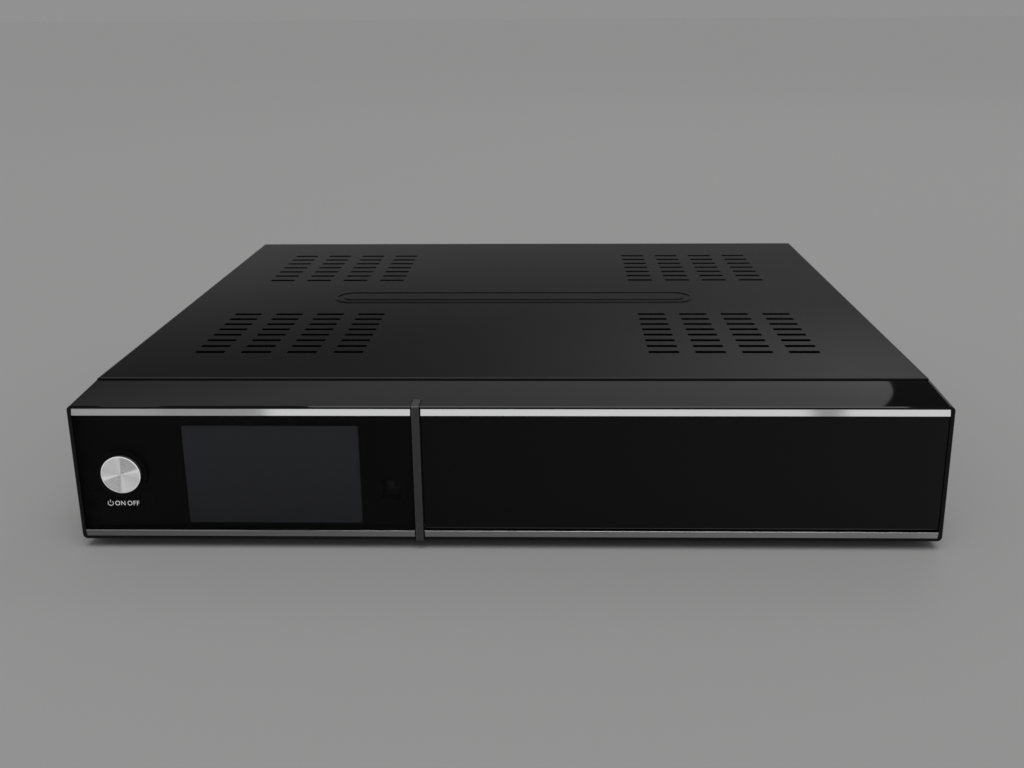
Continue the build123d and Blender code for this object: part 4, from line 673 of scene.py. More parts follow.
# ---------------------------------------------------------------- operators
class RECEIVER_OT_stage(bpy.types.Operator):
    """Sets up the floor, the light and the camera"""

    bl_idname = "receiver.stage"
    bl_label = "Stage"

    FLOOR_HALF = 60.0
    KEY_DIRECTION = Vector((-0.05, 0.3, -0.95))
    # Each square soft lamp: its name, its place and its side.
    SOFT_LAMPS = (
        ("right", (1.6, -0.9, 0.35), 0.5), ("left", (-0.9, -1.2, 1.5), 0.5), ("back", (0.9, 1.1, 2.0), 0.6),
    )
    # Each low lamp that faces the front: its name, its left and right end, and its share of the front level.
    FRONT_LAMPS = (
        ("left", -0.321, -0.259, 0.10), ("middle", -0.183, 0.200, 0.88), ("right", 0.222, 0.330, 0.88),
    )
    FRONT_LAMP_Y, FRONT_LAMP_Z, FRONT_LAMP_HEIGHT = -0.40, 0.06, 0.10
    AIM = Vector((0.0, 0.0, 0.04))
    # Where the walls that gloss and glass see get darker or brighter, as (start, slope) of the direction's
    # share upwards or to the right.
    HAZE_THINS, HAZE_DIPS, HAZE_ENDS = (0.12, 10.0), (0.26, 25.0), (0.32, -20.0)
    BAND_PALES, SCREEN_STARTS, SCREEN_ENDS, FRONT_ENDS = (0.31, 30.0), (0.40, 12.0), (0.58, 12.0), (0.6, 6.0)
    RIGHT_SIDE, FRONT_BRIGHTENS = (-0.3125, 1.6), (-0.36, 12.0)
    # The right edge of the screen behind: its place, how far and how fast it waves, and where it starts.
    EDGE, EDGE_SWING, EDGE_WAVES, EDGE_FOOT = 0.405, 0.008, 90.0, 0.415

    def execute(self, context):
        stage = context.scene.receiver_stage
        floor = self.lay_floor(stage)
        self.light_sky(stage)
        self.hang_key(stage)
        for name, place, side in self.SOFT_LAMPS:
            self.hang_lamp(name, getattr(stage, f"{name}_power"), Vector(place), (side, side), self.AIM)
        for name, start, stop, share in self.FRONT_LAMPS:
            place = Vector(((start + stop) / 2, self.FRONT_LAMP_Y, self.FRONT_LAMP_Z))
            size = (stop - start, self.FRONT_LAMP_HEIGHT)
            watts = share * stage.front_level * math.pi * size[0] * size[1]
            self.keep_off(self.hang_lamp(f"front_{name}", watts, place, size, place + BACK), floor)
        self.place_camera(stage)
        context.scene.view_settings.view_transform = "Standard"
        return {"FINISHED"}

    def lay_floor(self, stage):
        """The floor, far wider than the picture, in a faintly grained paper."""
        half = self.FLOOR_HALF
        mesh = bpy.data.meshes.new("floor")
        corners = [(-half, -half, 0.0), (half, -half, 0.0), (half, half, 0.0), (-half, half, 0.0)]
        mesh.from_pydata(corners, [], [(0, 1, 2, 3)])
        finish = Finish("floor_paper")
        grain = finish.noise(1.2 * MM, detail=3.0)
        tint = finish.between(grain, toned(stage.backdrop_color, 0.99), toned(stage.backdrop_color, 1.01))
        mesh.materials.append(finish.surface(tint, Roughness=0.9, Specular_IOR_Level=0.0))
        floor = put("floor", mesh)
        return floor

    def light_sky(self, stage):
        """An even light all round. The camera sees a plain backdrop, and gloss and glass see the walls."""
        world = bpy.data.worlds.new("sky")
        world.use_nodes = True
        nodes = NodeBuilder(world.node_tree)
        even = nodes.node("ShaderNodeBackground", {"Color": (*WHITE, 1.0), "Strength": stage.sky_strength})
        away = nodes.node("ShaderNodeTexCoord", output="Generated")
        across, ahead, up = (nodes.axis(away, letter) for letter in "XYZ")
        back = self.back_wall(nodes, stage.glow, across, ahead, up)
        front = self.front_wall(nodes, stage.glow, across, ahead, up)
        faces_back = ahead > 0.0
        walls = faces_back * back + (1.0 - faces_back) * front
        from_camera, from_gloss, through_glass = (
            nodes.node("ShaderNodeLightPath", output=f"Is {kind} Ray")
            for kind in ("Camera", "Glossy", "Transmission")
        )
        strength = from_camera + (1.0 - from_camera) * walls
        backdrop = (*stage.backdrop_color, 1.0)
        shown = nodes.node("ShaderNodeBackground", {"Color": backdrop, "Strength": strength})
        seen = from_camera + from_gloss + through_glass
        sky = nodes.node("ShaderNodeMixShader", {0: seen, 1: even, 2: shown})
        nodes.node("ShaderNodeOutputWorld", {"Surface": sky})
        bpy.context.scene.world = world

    def back_wall(self, nodes, glow, across, ahead, up):
        """Brightness behind: a haze low down, a dark band that pales to the right, and above it a bright
        screen with a wavy right edge."""
        low, high = nodes.rise(up, *self.HAZE_ENDS), nodes.rise(up, *self.SCREEN_STARTS)
        side = nodes.rise(across, *self.RIGHT_SIDE)
        thin, dip = nodes.rise(up, *self.HAZE_THINS), nodes.rise(up, *self.HAZE_DIPS)
        painted_light_and_room_haze = 1.0 - thin * (0.4 * side + 0.3 * dip)
        band = 0.02 + side * side * (4.5 * glow) * nodes.rise(up, *self.BAND_PALES)
        screen = (1.25 + side * (1.5 * glow)) * (1.0 - 0.85 * nodes.rise(up, *self.SCREEN_ENDS))
        wave = nodes.node("ShaderNodeMath", {0: (up / ahead) * self.EDGE_WAVES}, operation="SINE")
        beyond = (across / ahead > self.EDGE + self.EDGE_SWING * wave) * (up > self.EDGE_FOOT)
        return (painted_light_and_room_haze * low + (1.0 - low - high) * band + high * screen) * (1.0 - 0.95 * beyond)

    def front_wall(self, nodes, glow, across, ahead, up):
        """Brightness in front: even, brighter from a little left of the middle on, and dim overhead."""
        bright = nodes.rise(across / (-1.0 * ahead), *self.FRONT_BRIGHTENS)
        return (1.0 + bright * (1.5 * glow)) * (1.0 - 0.8 * nodes.rise(up, *self.FRONT_ENDS))

    def hang_key(self, stage):
        """The soft key light."""
        key = bpy.data.lights.new("key", "SUN")
        key.energy = stage.key_strength
        key.angle = stage.key_spread
        put("key", key).rotation_euler = self.KEY_DIRECTION.to_track_quat("-Z", "Y").to_euler()

    def hang_lamp(self, name, watts, place, size, aim):
        """A rectangular lamp that points at a place."""
        lamp = bpy.data.lights.new(name, "AREA")
        lamp.shape = "RECTANGLE"
        lamp.size, lamp.size_y = size
        lamp.energy = watts
        holder = put(name, lamp)
        holder.location = place
        holder.rotation_euler = (aim - place).to_track_quat("-Z", "Y").to_euler()
        return holder

    def keep_off(self, lamp, floor):
        """Lets a lamp shine on all but the floor."""
        unlit = bpy.data.collections.new(f"{lamp.name}_unlit")
        unlit.objects.link(floor)
        lamp.light_linking.receiver_collection = unlit
        for member in unlit.collection_objects:
            member.light_linking.link_state = "EXCLUDE"

    def place_camera(self, stage):
        """The camera, turned and tilted by hand so that it also leans as it should."""
        turn, tilt, roll = -stage.camera_turn, stage.camera_tilt, -stage.camera_roll
        ahead = Vector((math.sin(turn) * math.cos(tilt), math.cos(turn) * math.cos(tilt), -math.sin(tilt)))
        flat_right = Vector((math.cos(turn), -math.sin(turn), 0.0))
        upright = flat_right.cross(ahead)
        right = math.cos(roll) * flat_right + math.sin(roll) * upright
        up = math.cos(roll) * upright - math.sin(roll) * flat_right
        lens = bpy.data.cameras.new("camera")
        lens.sensor_fit = "HORIZONTAL"
        lens.sensor_width = SENSOR_WIDTH
        lens.lens = stage.focal_length
        lens.shift_x = -stage.picture_side
        lens.shift_y = -stage.picture_drop
        lens.clip_start, lens.clip_end = 0.01, 400.0
        camera = put("camera", lens)
        facing = Matrix((right, up, -ahead)).transposed().to_4x4()
        camera.matrix_world = Matrix.Translation(stage.camera_place) @ facing
        bpy.context.scene.camera = camera


class RECEIVER_OT_cover(bpy.types.Operator):
    """Paints the steel cover and the rear panel"""

    bl_idname = "receiver.cover"
    bl_label = "Cover"

    def execute(self, context):
        look = context.scene.receiver_finish
        dress(cover_paint(look, *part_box("top_cover")), "top_cover")
        dress(satin("rear_paint", (0.024, 0.024, 0.025), look, roughness=0.36), "rear_panel")
        return {"FINISHED"}


class RECEIVER_OT_fascia(bpy.types.Operator):
    """Finishes the moulded fascia, its strips and the strap between the two panels"""

    bl_idname = "receiver.fascia"
    bl_label = "Fascia"

    def execute(self, context):
        look = context.scene.receiver_finish
        dress(gloss_black("fascia_gloss", look.gloss_color, look), "fascia_frame")
        ring = satin("ring_black", look.window_color, look, roughness=0.5, Specular_IOR_Level=0.1)
        dress(ring, "button_ring")
        span = CAD_BOX[1][0] - CAD_BOX[0][0]
        bright = brushed_trim("bright_trim", look.trim_color, look.trim_color, span)
        # The lower strips get a darker copy of the bright strips' finish: painted shade, paler to the right
        # as painted light.
        painted_shade_trim = brushed_trim("shaded_trim", look.low_trim_painted_shade, look.low_trim_end_painted_shade_and_light, span)
        dress(bright, "strip_top_left", "strip_top_right")
        dress(painted_shade_trim, "strip_bottom_left", "strip_bottom_right")
        # The strap's edges are painted paler: a painted highlight.
        strap = satin("strap_satin", look.strap_color, look, roughness=0.27, painted_edge_highlight=(0.09, 0.09, 0.092))
        dress(strap, "divider_strap")
        return {"FINISHED"}


class RECEIVER_OT_window(bpy.types.Operator):
    """Finishes the smoked window, and the display and the infrared eye behind it"""

    bl_idname = "receiver.window"
    bl_label = "Window"

    def execute(self, context):
        look = context.scene.receiver_finish
        each_face = 1 - (1 - look.window_density) ** 0.5
        # The smoked window is painted darker at its left and paler at its right: painted light.
        smoked = gloss_black("smoked_window", look.window_color, look, painted_light_and_room_haze=(-0.0012, 0.002), Alpha=each_face)
        dress(smoked, "display_window")
        low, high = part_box("lcd_module")
        dress(display_glass(look, low.z, high.z), "lcd_module")
        dress(satin("eye_block", (0.035, 0.035, 0.038), look, roughness=0.35), "ir_receiver")
        return {"FINISHED"}


class RECEIVER_OT_button(bpy.types.Operator):
    """Turns the face of the power button"""

    bl_idname = "receiver.button"
    bl_label = "Power button"

    DISH = 0.25 * MM  # how far the middle of the face lies below its edge
    RINGS = 24

    def execute(self, context):
        look = context.scene.receiver_finish
        button = context.scene.receiver_button
        low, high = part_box("power_button")
        radius = (high.x - low.x) / 2
        length = high.y - low.y
        centre = Vector(((low.x + high.x) / 2, low.y, (low.z + high.z) / 2))
        flat = radius - button.rim_width
        face = [
            (flat * n / self.RINGS, self.DISH * (1 - (n / self.RINGS) ** 2)) for n in range(self.RINGS + 1)
        ]
        side = [(radius, button.rim_depth), (radius, length), (0.0, length)]
        mesh = turned(face + side, centre, button.segments)
        cap = place_piece("button_cap", mesh, "button", spun_aluminium(look, button, centre, flat))
        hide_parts("power_button")
        nylon = satin("black_nylon", (0.02, 0.02, 0.02), look)
        dress(nylon, "button_plunger", "switch_actuator", "tact_switch")
        return {"FINISHED"}


class RECEIVER_OT_label(bpy.types.Operator):
    """Prints the standby mark and its words below the power button"""

    bl_idname = "receiver.label"
    bl_label = "Label"

    LEFT_OF_BUTTON = 7.5 * MM  # from the middle of the button to the left end of the print
    MARK_WIDTH, MARK_GAP, WORDS_WIDTH = 2.6 * MM, 0.6 * MM, 10.8 * MM
    PRINT_DEPTH = 0.03 * MM
    MARK_LINE = 0.2  # the line of the mark, as a share of its radius
    MARK_OPENING = math.radians(42)  # half of the gap at the top of its ring
    MARK_STEPS = 32

    def execute(self, context):
        label = context.scene.receiver_label
        low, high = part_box("power_button")
        left = (low.x + high.x) / 2 - self.LEFT_OF_BUTTON
        middle = (low.z + high.z) / 2 - label.below_button
        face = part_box("display_window")[0].y - self.PRINT_DEPTH
        words = self.words(label)
        width = max(vert.co.x for vert in words.vertices)
        height = max(vert.co.y for vert in words.vertices)
        upright = Matrix.Rotation(math.radians(90), 4, "X")
        place = Matrix.Translation((
            left + self.MARK_WIDTH + self.MARK_GAP, face, middle - label.letter_height / 2
        ))
        fitted = Matrix.Diagonal((self.WORDS_WIDTH / width, label.letter_height / height, 1.0, 1.0))
        words.transform(place @ upright @ fitted)
        paint = ink(label.ink_color)
        wording = place_piece("label_words", words, "casing", paint)
        radius = self.MARK_WIDTH / 2
        mark = self.mark(Vector((left + radius, face, middle)), radius)
        standby = place_piece("label_mark", mark, "casing", paint)
        return {"FINISHED"}

    def words(self, label):
        """The words, flat and at the origin."""
        text = bpy.data.curves.new("words", "FONT")
        text.body = label.wording
        text.extrude = self.PRINT_DEPTH / 2
        text.space_character = 1.1
        text.space_word = 0.45
        text.resolution_u = 6
        return plain_mesh(put("words", text))

    def mark(self, centre, radius):
        """The standby mark: a ring that is open at its top, and a bar through the gap."""
        line = radius * self.MARK_LINE
        half, foot, top = line / 2, 0.25 * radius, 1.2 * radius
        first, sweep = math.pi / 2 + self.MARK_OPENING, math.tau - 2 * self.MARK_OPENING
        turns = [first + sweep * n / self.MARK_STEPS for n in range(self.MARK_STEPS + 1)]

        def make(shape):
            def slab(outline):
                front, back = (
                    [shape.verts.new((centre.x + x, centre.y + depth, centre.z + z)) for x, z in outline]
                    for depth in (0.0, self.PRINT_DEPTH)
                )
                shape.faces.new(front)
                shape.faces.new(list(reversed(back)))
                for n in range(len(outline)):
                    after = (n + 1) % len(outline)
                    shape.faces.new([front[n], back[n], back[after], front[after]])

            for start, stop in zip(turns, turns[1:]):
                corners = ((radius, start), (radius, stop), (radius - line, stop), (radius - line, start))
                slab([(r * math.cos(a), r * math.sin(a)) for r, a in corners])
            slab([(-half, foot), (half, foot), (half, top), (-half, top)])

        return mesh_from(make)


class RECEIVER_OT_flap(bpy.types.Operator):
    """Finishes the drop-down flap and the card bay behind it"""

    bl_idname = "receiver.flap"
    bl_label = "Flap and card bay"

    def execute(self, context):
        look = context.scene.receiver_finish
        # The flap is painted darker at its left and paler at its right: painted light.
        panel = gloss_black(
            "flap_gloss", look.window_color, look, painted_light_and_room_haze=(-0.0016, 0.0062), span=0.38, gloss=0.125
        )
        dress(panel, "flap_door")
        dress(rolled_metal("plated_steel", look.steel_color, look), "catch_plate")
        dress(rolled_metal("blued_steel", (0.05, 0.05, 0.055), look), "hinge_pins")
        moulded = satin("moulded_black", (0.016, 0.016, 0.017), look, roughness=0.5, grain_depth=0.01 * MM)
        dress(moulded, "card_bay_panel", "ci_cage_lower", "ci_cage_upper")
        dress(moulded, "card_reader_lower", "card_reader_upper")
        nickel = rolled_metal("nickel", (0.62, 0.60, 0.56), look, roughness=0.24)
        dress(nickel, "catch_magnet", "usb_port_front")
        return {"FINISHED"}


class RECEIVER_OT_sockets(bpy.types.Operator):
    """Finishes the sockets and switches of the rear panel"""

    bl_idname = "receiver.sockets"
    bl_label = "Rear sockets"

    # The mouth of an aerial socket, (radius, depth) in millimetres: hole, funnel, insulator and bevel.
    MOUTH = ((0.0, 6.0), (0.7, 6.0), (0.7, 1.6), (1.3, 0.8), (3.1, 0.8), (3.3, 0.5), (3.5, 0.0))
    THREAD_START, BARE_END = 0.6 * MM, 1.0 * MM  # from the face to the thread, and from its end to the nut
    SEGMENTS = 48

    def execute(self, context):
        look = context.scene.receiver_finish
        socket = context.scene.receiver_socket
        nickel = rolled_metal("nickel_thread", (0.66, 0.63, 0.57), look, roughness=0.22)
        dress(nickel, "f_nuts", "f_sockets")
        barrels = self.thread(socket, nickel)
        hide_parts("f_sockets")
        dress(rolled_metal("tin", (0.60, 0.61, 0.62), look, roughness=0.30), "hdmi_ports", "usb_ports_rear")
        moulded = satin("socket_black", (0.045, 0.045, 0.046), look, roughness=0.34)
        dress(moulded, "ethernet_port", "optical_output", "mains_switch_body")
        middle = midpoint(*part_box("mains_inlet"))
        dress(inlet_moulding(look, middle, socket.pin_offset, socket.pin_radius), "mains_inlet")
        dress(satin("rocker_black", (0.030, 0.030, 0.031), look, roughness=0.26), "mains_rocker")
        return {"FINISHED"}

    def barrel(self, root, length, nut_face):
        """One aerial socket with its face at the origin and its length to the back: the mouth, a plain core
        for the thread, a collar that stands in the nut, and the stem."""
        collar, stem, collar_step = 4.7 * MM, 4.5 * MM, nut_face - 0.3 * MM
        outline = [(radius * MM, depth * MM) for radius, depth in self.MOUTH] + [
            (root - 0.2 * MM, 0.0), (root, 0.25 * MM), (root, collar_step), (collar, collar_step),
            (collar, nut_face), (stem, nut_face), (stem, length), (0.0, length),
        ]
        return turned(outline, ORIGIN, self.SEGMENTS)

    def thread(self, socket, material):
        """The four aerial sockets: a turned barrel with a screw thread wound round it."""
        boxes = islands("f_sockets")
        low, high = boxes[0]
        nut_face = high.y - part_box("f_nuts")[1].y
        root = (high.x - low.x) / 2 - socket.thread_depth
        tree = Pattern("aerial_sockets", **{
            "Thread pitch": socket.thread_pitch, "Root radius": root, "Thread depth": socket.thread_depth,
            "Thread length": nut_face - self.BARE_END, "Steps": socket.thread_steps,
        })
        blank = put("barrel_blank", self.barrel(root, high.y - low.y, nut_face))
        barrel = tree.node("GeometryNodeObjectInfo", {"Object": blank}, output="Geometry")
        helix = tree.node("GeometryNodeCurveSpiral", {
            "Resolution": tree.size("Steps"), "Height": tree.size("Thread length"),
            "Rotations": tree.size("Thread length") / tree.size("Thread pitch"),
            "Start Radius": tree.size("Root radius"), "End Radius": tree.size("Root radius"),
        })
        wire = tree.node("GeometryNodeCurvePrimitiveCircle", {
            "Resolution": 4, "Radius": tree.size("Thread depth")
        }, mode="RADIUS")
        ridge = tree.node("GeometryNodeCurveToMesh", {
            "Curve": helix, "Profile Curve": wire, "Fill Caps": True
        })
        laid = tree.node("GeometryNodeTransform", {
            "Geometry": ridge, "Rotation": (math.radians(-90), 0.0, 0.0),
            "Translation": (0.0, self.THREAD_START, 0.0),
        })
        whole = tree.node("GeometryNodeJoinGeometry", {0: barrel})
        tree.tree.links.new(laid.socket, whole.socket.node.inputs[0])
        placed = tree.node("GeometryNodeInstanceOnPoints", {
            "Points": tree.size("Geometry"), "Instance": whole
        })
        flipped = tree.node("GeometryNodeRotateInstances", {
            "Instances": placed, "Rotation": (0.0, 0.0, math.pi)
        })
        faces = [Vector(((a.x + b.x) / 2, b.y, (a.z + b.z) / 2)) for a, b in boxes]
        piece = tree.lay("aerial_sockets", seats(faces, [BACK] * len(faces)), flipped, material, "casing")
        bpy.data.objects.remove(blank)
        return piece


class RECEIVER_OT_contacts(bpy.types.Operator):
    """Lays the contact blades in the mouths of the sockets"""

    bl_idname = "receiver.contacts"
    bl_label = "Contacts"

    # Each kind of blade: its pitch and wire radius, and how far behind the socket's face it starts and ends.
    USB, USB_DEPTHS = (2.4 * MM, 0.3 * MM), (8.5 * MM, 1.6 * MM)
    HDMI, HDMI_DEPTHS = (1.0 * MM, 0.14 * MM), (6.8 * MM, 1.0 * MM)
    NETWORK, NETWORK_DEPTHS = (1.02 * MM, 0.18 * MM), (11.0 * MM, 3.0 * MM)
    # Heights over a socket's lower edge: of the front blades, the tongue's middle, and a blade's two ends.
    USB_FRONT_HEIGHT, HDMI_TONGUE_HEIGHT, NETWORK_HEIGHTS = 2.45 * MM, 3.4 * MM, (4.6 * MM, 1.8 * MM)
    # How far the rear USB tongues lie over the middle of their halves, and half the thickness of each tongue.
    USB_TONGUE_RISE, USB_TONGUE_HALF, HDMI_TONGUE_HALF = 0.5 * MM, 0.95 * MM, 0.5 * MM
    SPRING = 0.3 * MM  # how far the middle of a blade bends up
    POINTS = 8

    def execute(self, context):
        look = context.scene.receiver_finish
        gold = context.scene.receiver_socket.contact_gold
        plating = rolled_metal("contact_plating", gold, look, roughness=0.2)
        for name, count, (pitch, wire), (rest, tip) in self.rows():
            self.row(name, count, pitch, wire, rest, tip, plating)
        return {"FINISHED"}

    def rows(self):
        """Each row of contacts: name, count, (pitch, wire), and where its middle blade starts and ends."""
        def ends(x, face, inward, depths, heights):
            return [Vector((x, face + inward * depth, height)) for depth, height in zip(depths, heights)]

        low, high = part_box("usb_ports_rear")
        x, middle, quarter = (low.x + high.x) / 2, (low.z + high.z) / 2, (high.z - low.z) / 4
        for name, side in (("lower", -1), ("upper", 1)):
            z = middle + self.USB_TONGUE_RISE + side * quarter - self.USB_TONGUE_HALF
            yield f"usb_rear_{name}", 4, self.USB, ends(x, high.y, -1, self.USB_DEPTHS, (z, z))
        low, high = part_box("usb_port_front")
        x, z = (low.x + high.x) / 2, low.z + self.USB_FRONT_HEIGHT
        yield "usb_front", 4, self.USB, ends(x, low.y, 1, self.USB_DEPTHS, (z, z))
        for n, (low, high) in enumerate(islands("hdmi_ports")):
            x = (low.x + high.x) / 2
            for name, count, side in (("lower", 9, -1), ("upper", 10, 1)):
                z = low.z + self.HDMI_TONGUE_HEIGHT + side * self.HDMI_TONGUE_HALF
                yield f"hdmi_{n + 1}_{name}", count, self.HDMI, ends(x, high.y, -1, self.HDMI_DEPTHS, (z, z))
        low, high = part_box("ethernet_port")
        x, heights = (low.x + high.x) / 2, [low.z + height for height in self.NETWORK_HEIGHTS]
        yield "network", 8, self.NETWORK, ends(x, high.y, -1, self.NETWORK_DEPTHS, heights)

    def row(self, name, count, pitch, wire, rest, tip, material):
        """A row of sprung blades side by side."""
        tree = Pattern(f"{name}_contacts", **{
            "Count": count, "Pitch": pitch, "Wire": wire,
            "Length": (tip - rest).length, "Spring": self.SPRING,
        })
        line = tree.node("GeometryNodeCurveQuadraticBezier", {
            "Resolution": self.POINTS, "Start": (0.0, 0.0, 0.0), "End": tree.vector(y=tree.size("Length")),
            "Middle": tree.vector(y=tree.size("Length") * 0.5, z=tree.size("Spring")),
        })
        section = tree.node("GeometryNodeCurvePrimitiveCircle", {
            "Resolution": self.POINTS, "Radius": tree.size("Wire")
        }, mode="RADIUS")
        blade = tree.node("GeometryNodeCurveToMesh", {
            "Curve": line, "Profile Curve": section, "Fill Caps": True
        })
        places = tree.node("GeometryNodeMeshLine", {
            "Count": tree.size("Count"), "Offset": tree.vector(x=tree.size("Pitch"))
        }, mode="OFFSET")
        placed = tree.node("GeometryNodeInstanceOnPoints", {"Points": places, "Instance": blade})
        turn = BACK.rotation_difference((tip - rest).normalized()).to_euler()
        first = rest - Vector(((count - 1) / 2 * pitch, 0.0, 0.0))
        laid = tree.node("GeometryNodeRotateInstances", {"Instances": placed, "Rotation": tuple(turn)})
        moved = tree.node("GeometryNodeTranslateInstances", {
            "Instances": laid, "Translation": tuple(first), "Local Space": False
        })
        return tree.lay(f"{name}_contacts", bpy.data.meshes.new("seat"), moved, material, "casing")


class RECEIVER_OT_screws(bpy.types.Operator):
    """Domes the heads of the visible screws and finishes all of them"""

    bl_idname = "receiver.screws"
    bl_label = "Screws"

    DOME = 0.65  # the share of a head's height that is dome
    DOME_STEPS, HEAD_SEGMENTS = 6, 32
    RECESS_LENGTH, RECESS_DEPTH = 1.3, 0.6  # as shares of the head's radius and height
    STEM_CREST, STEM_ROOT = 0.46, 0.38  # radii of the stem, as shares of the head's radius
    STEM_PITCH, STEM_SIDES = 0.5 * MM, 16

    def execute(self, context):
        look = context.scene.receiver_finish
        screw = context.scene.receiver_screw
        black = rolled_metal("screw_black", (0.14, 0.14, 0.145), look, roughness=0.3)
        dress(black, "cover_screws", "fascia_screws", "foot_screws")
        dress(rolled_metal("screw_zinc", (0.60, 0.60, 0.58), look), "board_screws", "board_standoffs")
        middle = midpoint(*CAD_BOX)
        for node in ("cover_screws", "foot_screws"):
            boxes, places, facings = islands(node), [], []
            for low, high in boxes:
                size, centre = high - low, (low + high) / 2
                along = max(range(3), key=lambda i: size[i])
                out = Vector((0.0, 0.0, 0.0))
                out[along] = 1.0 if centre[along] > middle[along] else -1.0
                head = centre.copy()
                head[along] = (high if out[along] > 0 else low)[along]
                places.append(head - out * screw.head_height)
                facings.append(out)
            heads = self.pattern(screw, seats(places, facings), f"{node}_heads", black)
            stems = place_piece(f"{node}_shanks", self.shanks(screw, places, facings, boxes), "casing", black)
            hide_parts(node)
        return {"FINISHED"}

    def head(self, screw):
        """A pan head that faces up, with its foot at the origin."""
        radius, height = screw.head_radius, screw.head_height
        side = 1 - self.DOME
        crown = [
            (radius * math.sin(turn), -height * (side + self.DOME * math.cos(turn)))
            for turn in (math.pi / 2 * n / self.DOME_STEPS for n in range(self.DOME_STEPS + 1))
        ]
        mesh = turned(crown + [(radius, 0.0), (0.0, 0.0)], ORIGIN, self.HEAD_SEGMENTS)
        mesh.transform(Matrix.Rotation(math.radians(-90), 4, "X"))
        return mesh

    def pattern(self, screw, base, name, material):
        """A head on each seat, with a cross recess cut into its crown and a turn of its own."""
        tree = Pattern(name, **{
            "Recess width": screw.recess_width, "Recess length": self.RECESS_LENGTH * screw.head_radius,
            "Recess depth": self.RECESS_DEPTH * screw.head_height, "Head height": screw.head_height,
            "Seed": screw.seed,
        })
        blank = put("head_blank", self.head(screw))
        cut = tree.node("GeometryNodeObjectInfo", {"Object": blank}, output="Geometry")
        long, wide = tree.size("Recess length"), tree.size("Recess width")
        depth = tree.size("Recess depth") * 2.0
        crown = tree.vector(z=tree.size("Head height"))
        for arm in (tree.vector(long, wide, depth), tree.vector(wide, long, depth)):
            bar = tree.node("GeometryNodeMeshCube", {"Size": arm})
            raised = tree.node("GeometryNodeTransform", {"Geometry": bar, "Translation": crown})
            cut = tree.node(
                "GeometryNodeMeshBoolean", {0: cut, 1: raised}, operation="DIFFERENCE", solver="EXACT"
            )
        facing = tree.node("GeometryNodeInputNamedAttribute", {
            "Name": "facing"
        }, output="Attribute", data_type="FLOAT_VECTOR")
        turn = tree.node("FunctionNodeRandomValue", {
            2: 0.0, 3: math.pi, 8: tree.size("Seed")
        }, output=1, data_type="FLOAT")
        spin = tree.node("FunctionNodeEulerToRotation", {0: tree.vector(z=turn)})
        upright = tree.node("FunctionNodeAlignRotationToVector", {
            "Rotation": spin, "Vector": facing
        }, axis="Z")
        placed = tree.node("GeometryNodeInstanceOnPoints", {
            "Points": tree.size("Geometry"), "Instance": cut, "Rotation": upright
        })
        piece = tree.lay(name, base, placed, material, "casing")
        bpy.data.objects.remove(blank)
        return piece

    def shanks(self, screw, places, facings, boxes):
        """The threaded stems below the heads, down to the same depth as the solid screws."""
        turns = [math.tau * k / self.STEM_SIDES for k in range(self.STEM_SIDES)]

        def make(shape):
            for place, out, (low, high) in zip(places, facings, boxes):
                length = max(high - low) - screw.head_height
                upright = out.to_track_quat("Z", "Y").to_matrix().to_4x4()
                rings = 2 * int(length / self.STEM_PITCH)
                circles = []
                for n in range(rings + 1):
                    radius = screw.head_radius * (self.STEM_CREST if n % 2 else self.STEM_ROOT)
                    circles.append([
                        shape.verts.new(place + upright @ Vector((
                            radius * math.cos(turn), radius * math.sin(turn), -length * n / rings
                        ))) for turn in turns
                    ])
                for near, far in zip(circles, circles[1:]):
                    for k in range(self.STEM_SIDES):
                        shape.faces.new((near[k], near[k - 1], far[k - 1], far[k]))
                shape.faces.new(circles[0])
                shape.faces.new(reversed(circles[-1]))

        return mesh_from(make)


class RECEIVER_OT_chassis(bpy.types.Operator):
    """Finishes the chassis, the feet and the drive tray"""

    bl_idname = "receiver.chassis"
    bl_label = "Chassis"

    def execute(self, context):
        look = context.scene.receiver_finish
        dress(rolled_metal("zinc_sheet", look.steel_color, look), "chassis_base", "drive_tray")
        rubber = satin("foot_rubber", (0.012, 0.012, 0.012), look, roughness=0.75, grain_depth=0.012 * MM)
        dress(rubber, "foot_front_left", "foot_front_right", "foot_rear_left", "foot_rear_right")
        return {"FINISHED"}


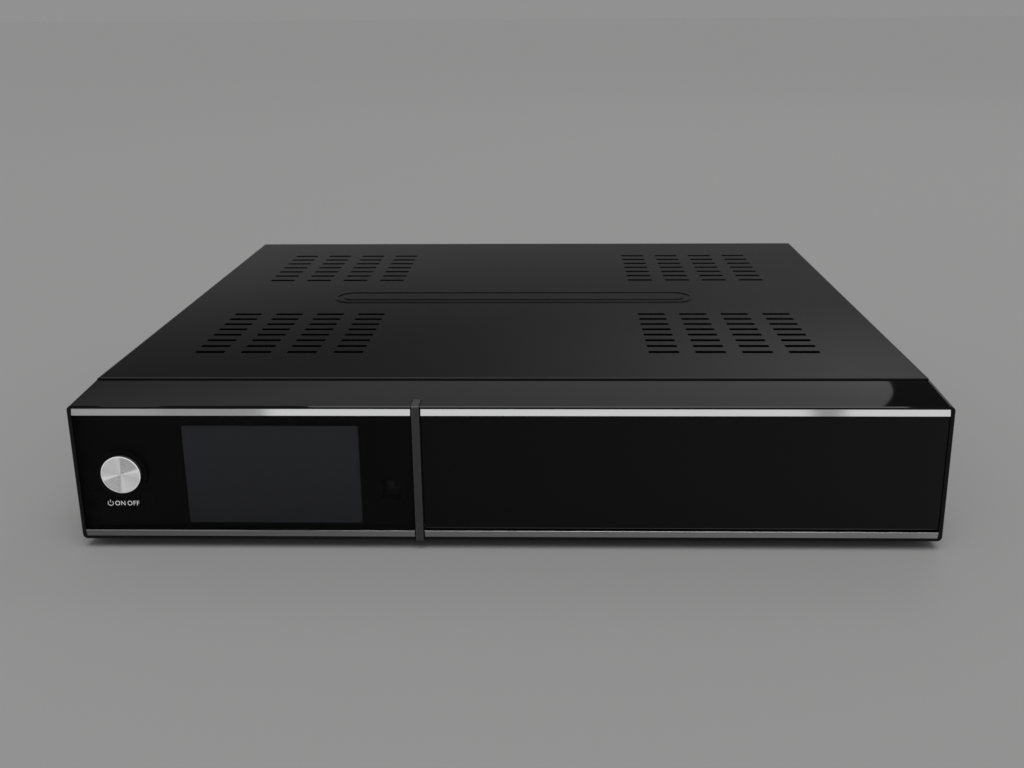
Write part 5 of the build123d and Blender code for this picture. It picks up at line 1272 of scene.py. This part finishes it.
class RECEIVER_OT_boards(bpy.types.Operator):
    """Finishes the boards and all that stands on them"""

    bl_idname = "receiver.boards"
    bl_label = "Boards"

    def execute(self, context):
        look = context.scene.receiver_finish
        green = circuit_board("circuit_green", (0.004, 0.022, 0.011), (0.008, 0.040, 0.020), look)
        dark = circuit_board("circuit_dark", (0.003, 0.006, 0.004), (0.005, 0.010, 0.007), look)
        dress(green, "main_board", "psu_board")
        dress(dark, "front_board")
        dress(satin("chip_resin", (0.018, 0.018, 0.019), look, roughness=0.55), "soc_chip", "memory_chips")
        sleeve = satin("capacitor_sleeve", (0.014, 0.016, 0.022), look, roughness=0.3)
        dress(sleeve, "board_capacitors", "psu_capacitor")
        dress(rolled_metal("tuner_tin", (0.42, 0.43, 0.44), look), "tuner_left", "tuner_right")
        dress(rolled_metal("sink_aluminium", (0.10, 0.10, 0.105), look), "heatsink", "psu_heatsink")
        dress(satin("copper_tape", (0.075, 0.045, 0.016), look, roughness=0.4), "psu_transformer")
        dress(satin("ribbon_white", (0.30, 0.30, 0.29), look, roughness=0.5), "ribbon_cable")
        return {"FINISHED"}


OPERATORS = (
    RECEIVER_OT_stage, RECEIVER_OT_cover, RECEIVER_OT_fascia, RECEIVER_OT_window, RECEIVER_OT_button,
    RECEIVER_OT_label, RECEIVER_OT_flap, RECEIVER_OT_sockets, RECEIVER_OT_contacts, RECEIVER_OT_screws,
    RECEIVER_OT_chassis, RECEIVER_OT_boards,
)
SETTINGS = {
    "receiver_stage": StageSettings,
    "receiver_finish": FinishSettings,
    "receiver_button": ButtonSettings,
    "receiver_socket": SocketSettings,
    "receiver_screw": ScrewSettings,
    "receiver_label": LabelSettings,
}


class RECEIVER_PT_panel(bpy.types.Panel):
    """Lists the steps and their settings"""

    bl_idname = "RECEIVER_PT_panel"
    bl_label = "Satellite receiver"
    bl_space_type = "VIEW_3D"
    bl_region_type = "UI"
    bl_category = "Receiver"

    def draw(self, context):
        for step in OPERATORS:
            self.layout.operator(step.bl_idname)
        for name, kind in SETTINGS.items():
            box = self.layout.box()
            settings = getattr(context.scene, name)
            for field in kind.__annotations__:
                box.prop(settings, field)


def register():
    for kind in (*SETTINGS.values(), *OPERATORS, RECEIVER_PT_panel):
        bpy.utils.register_class(kind)
    for name, kind in SETTINGS.items():
        setattr(bpy.types.Scene, name, PointerProperty(type=kind))


def unregister():
    for name in SETTINGS:
        delattr(bpy.types.Scene, name)
    for kind in reversed((*SETTINGS.values(), *OPERATORS, RECEIVER_PT_panel)):
        bpy.utils.unregister_class(kind)


def main():
    """Runs every step in order."""
    register()
    for step in OPERATORS:
        group, name = step.bl_idname.split(".")
        getattr(getattr(bpy.ops, group), name)()


if __name__ == "__main__":
    main()
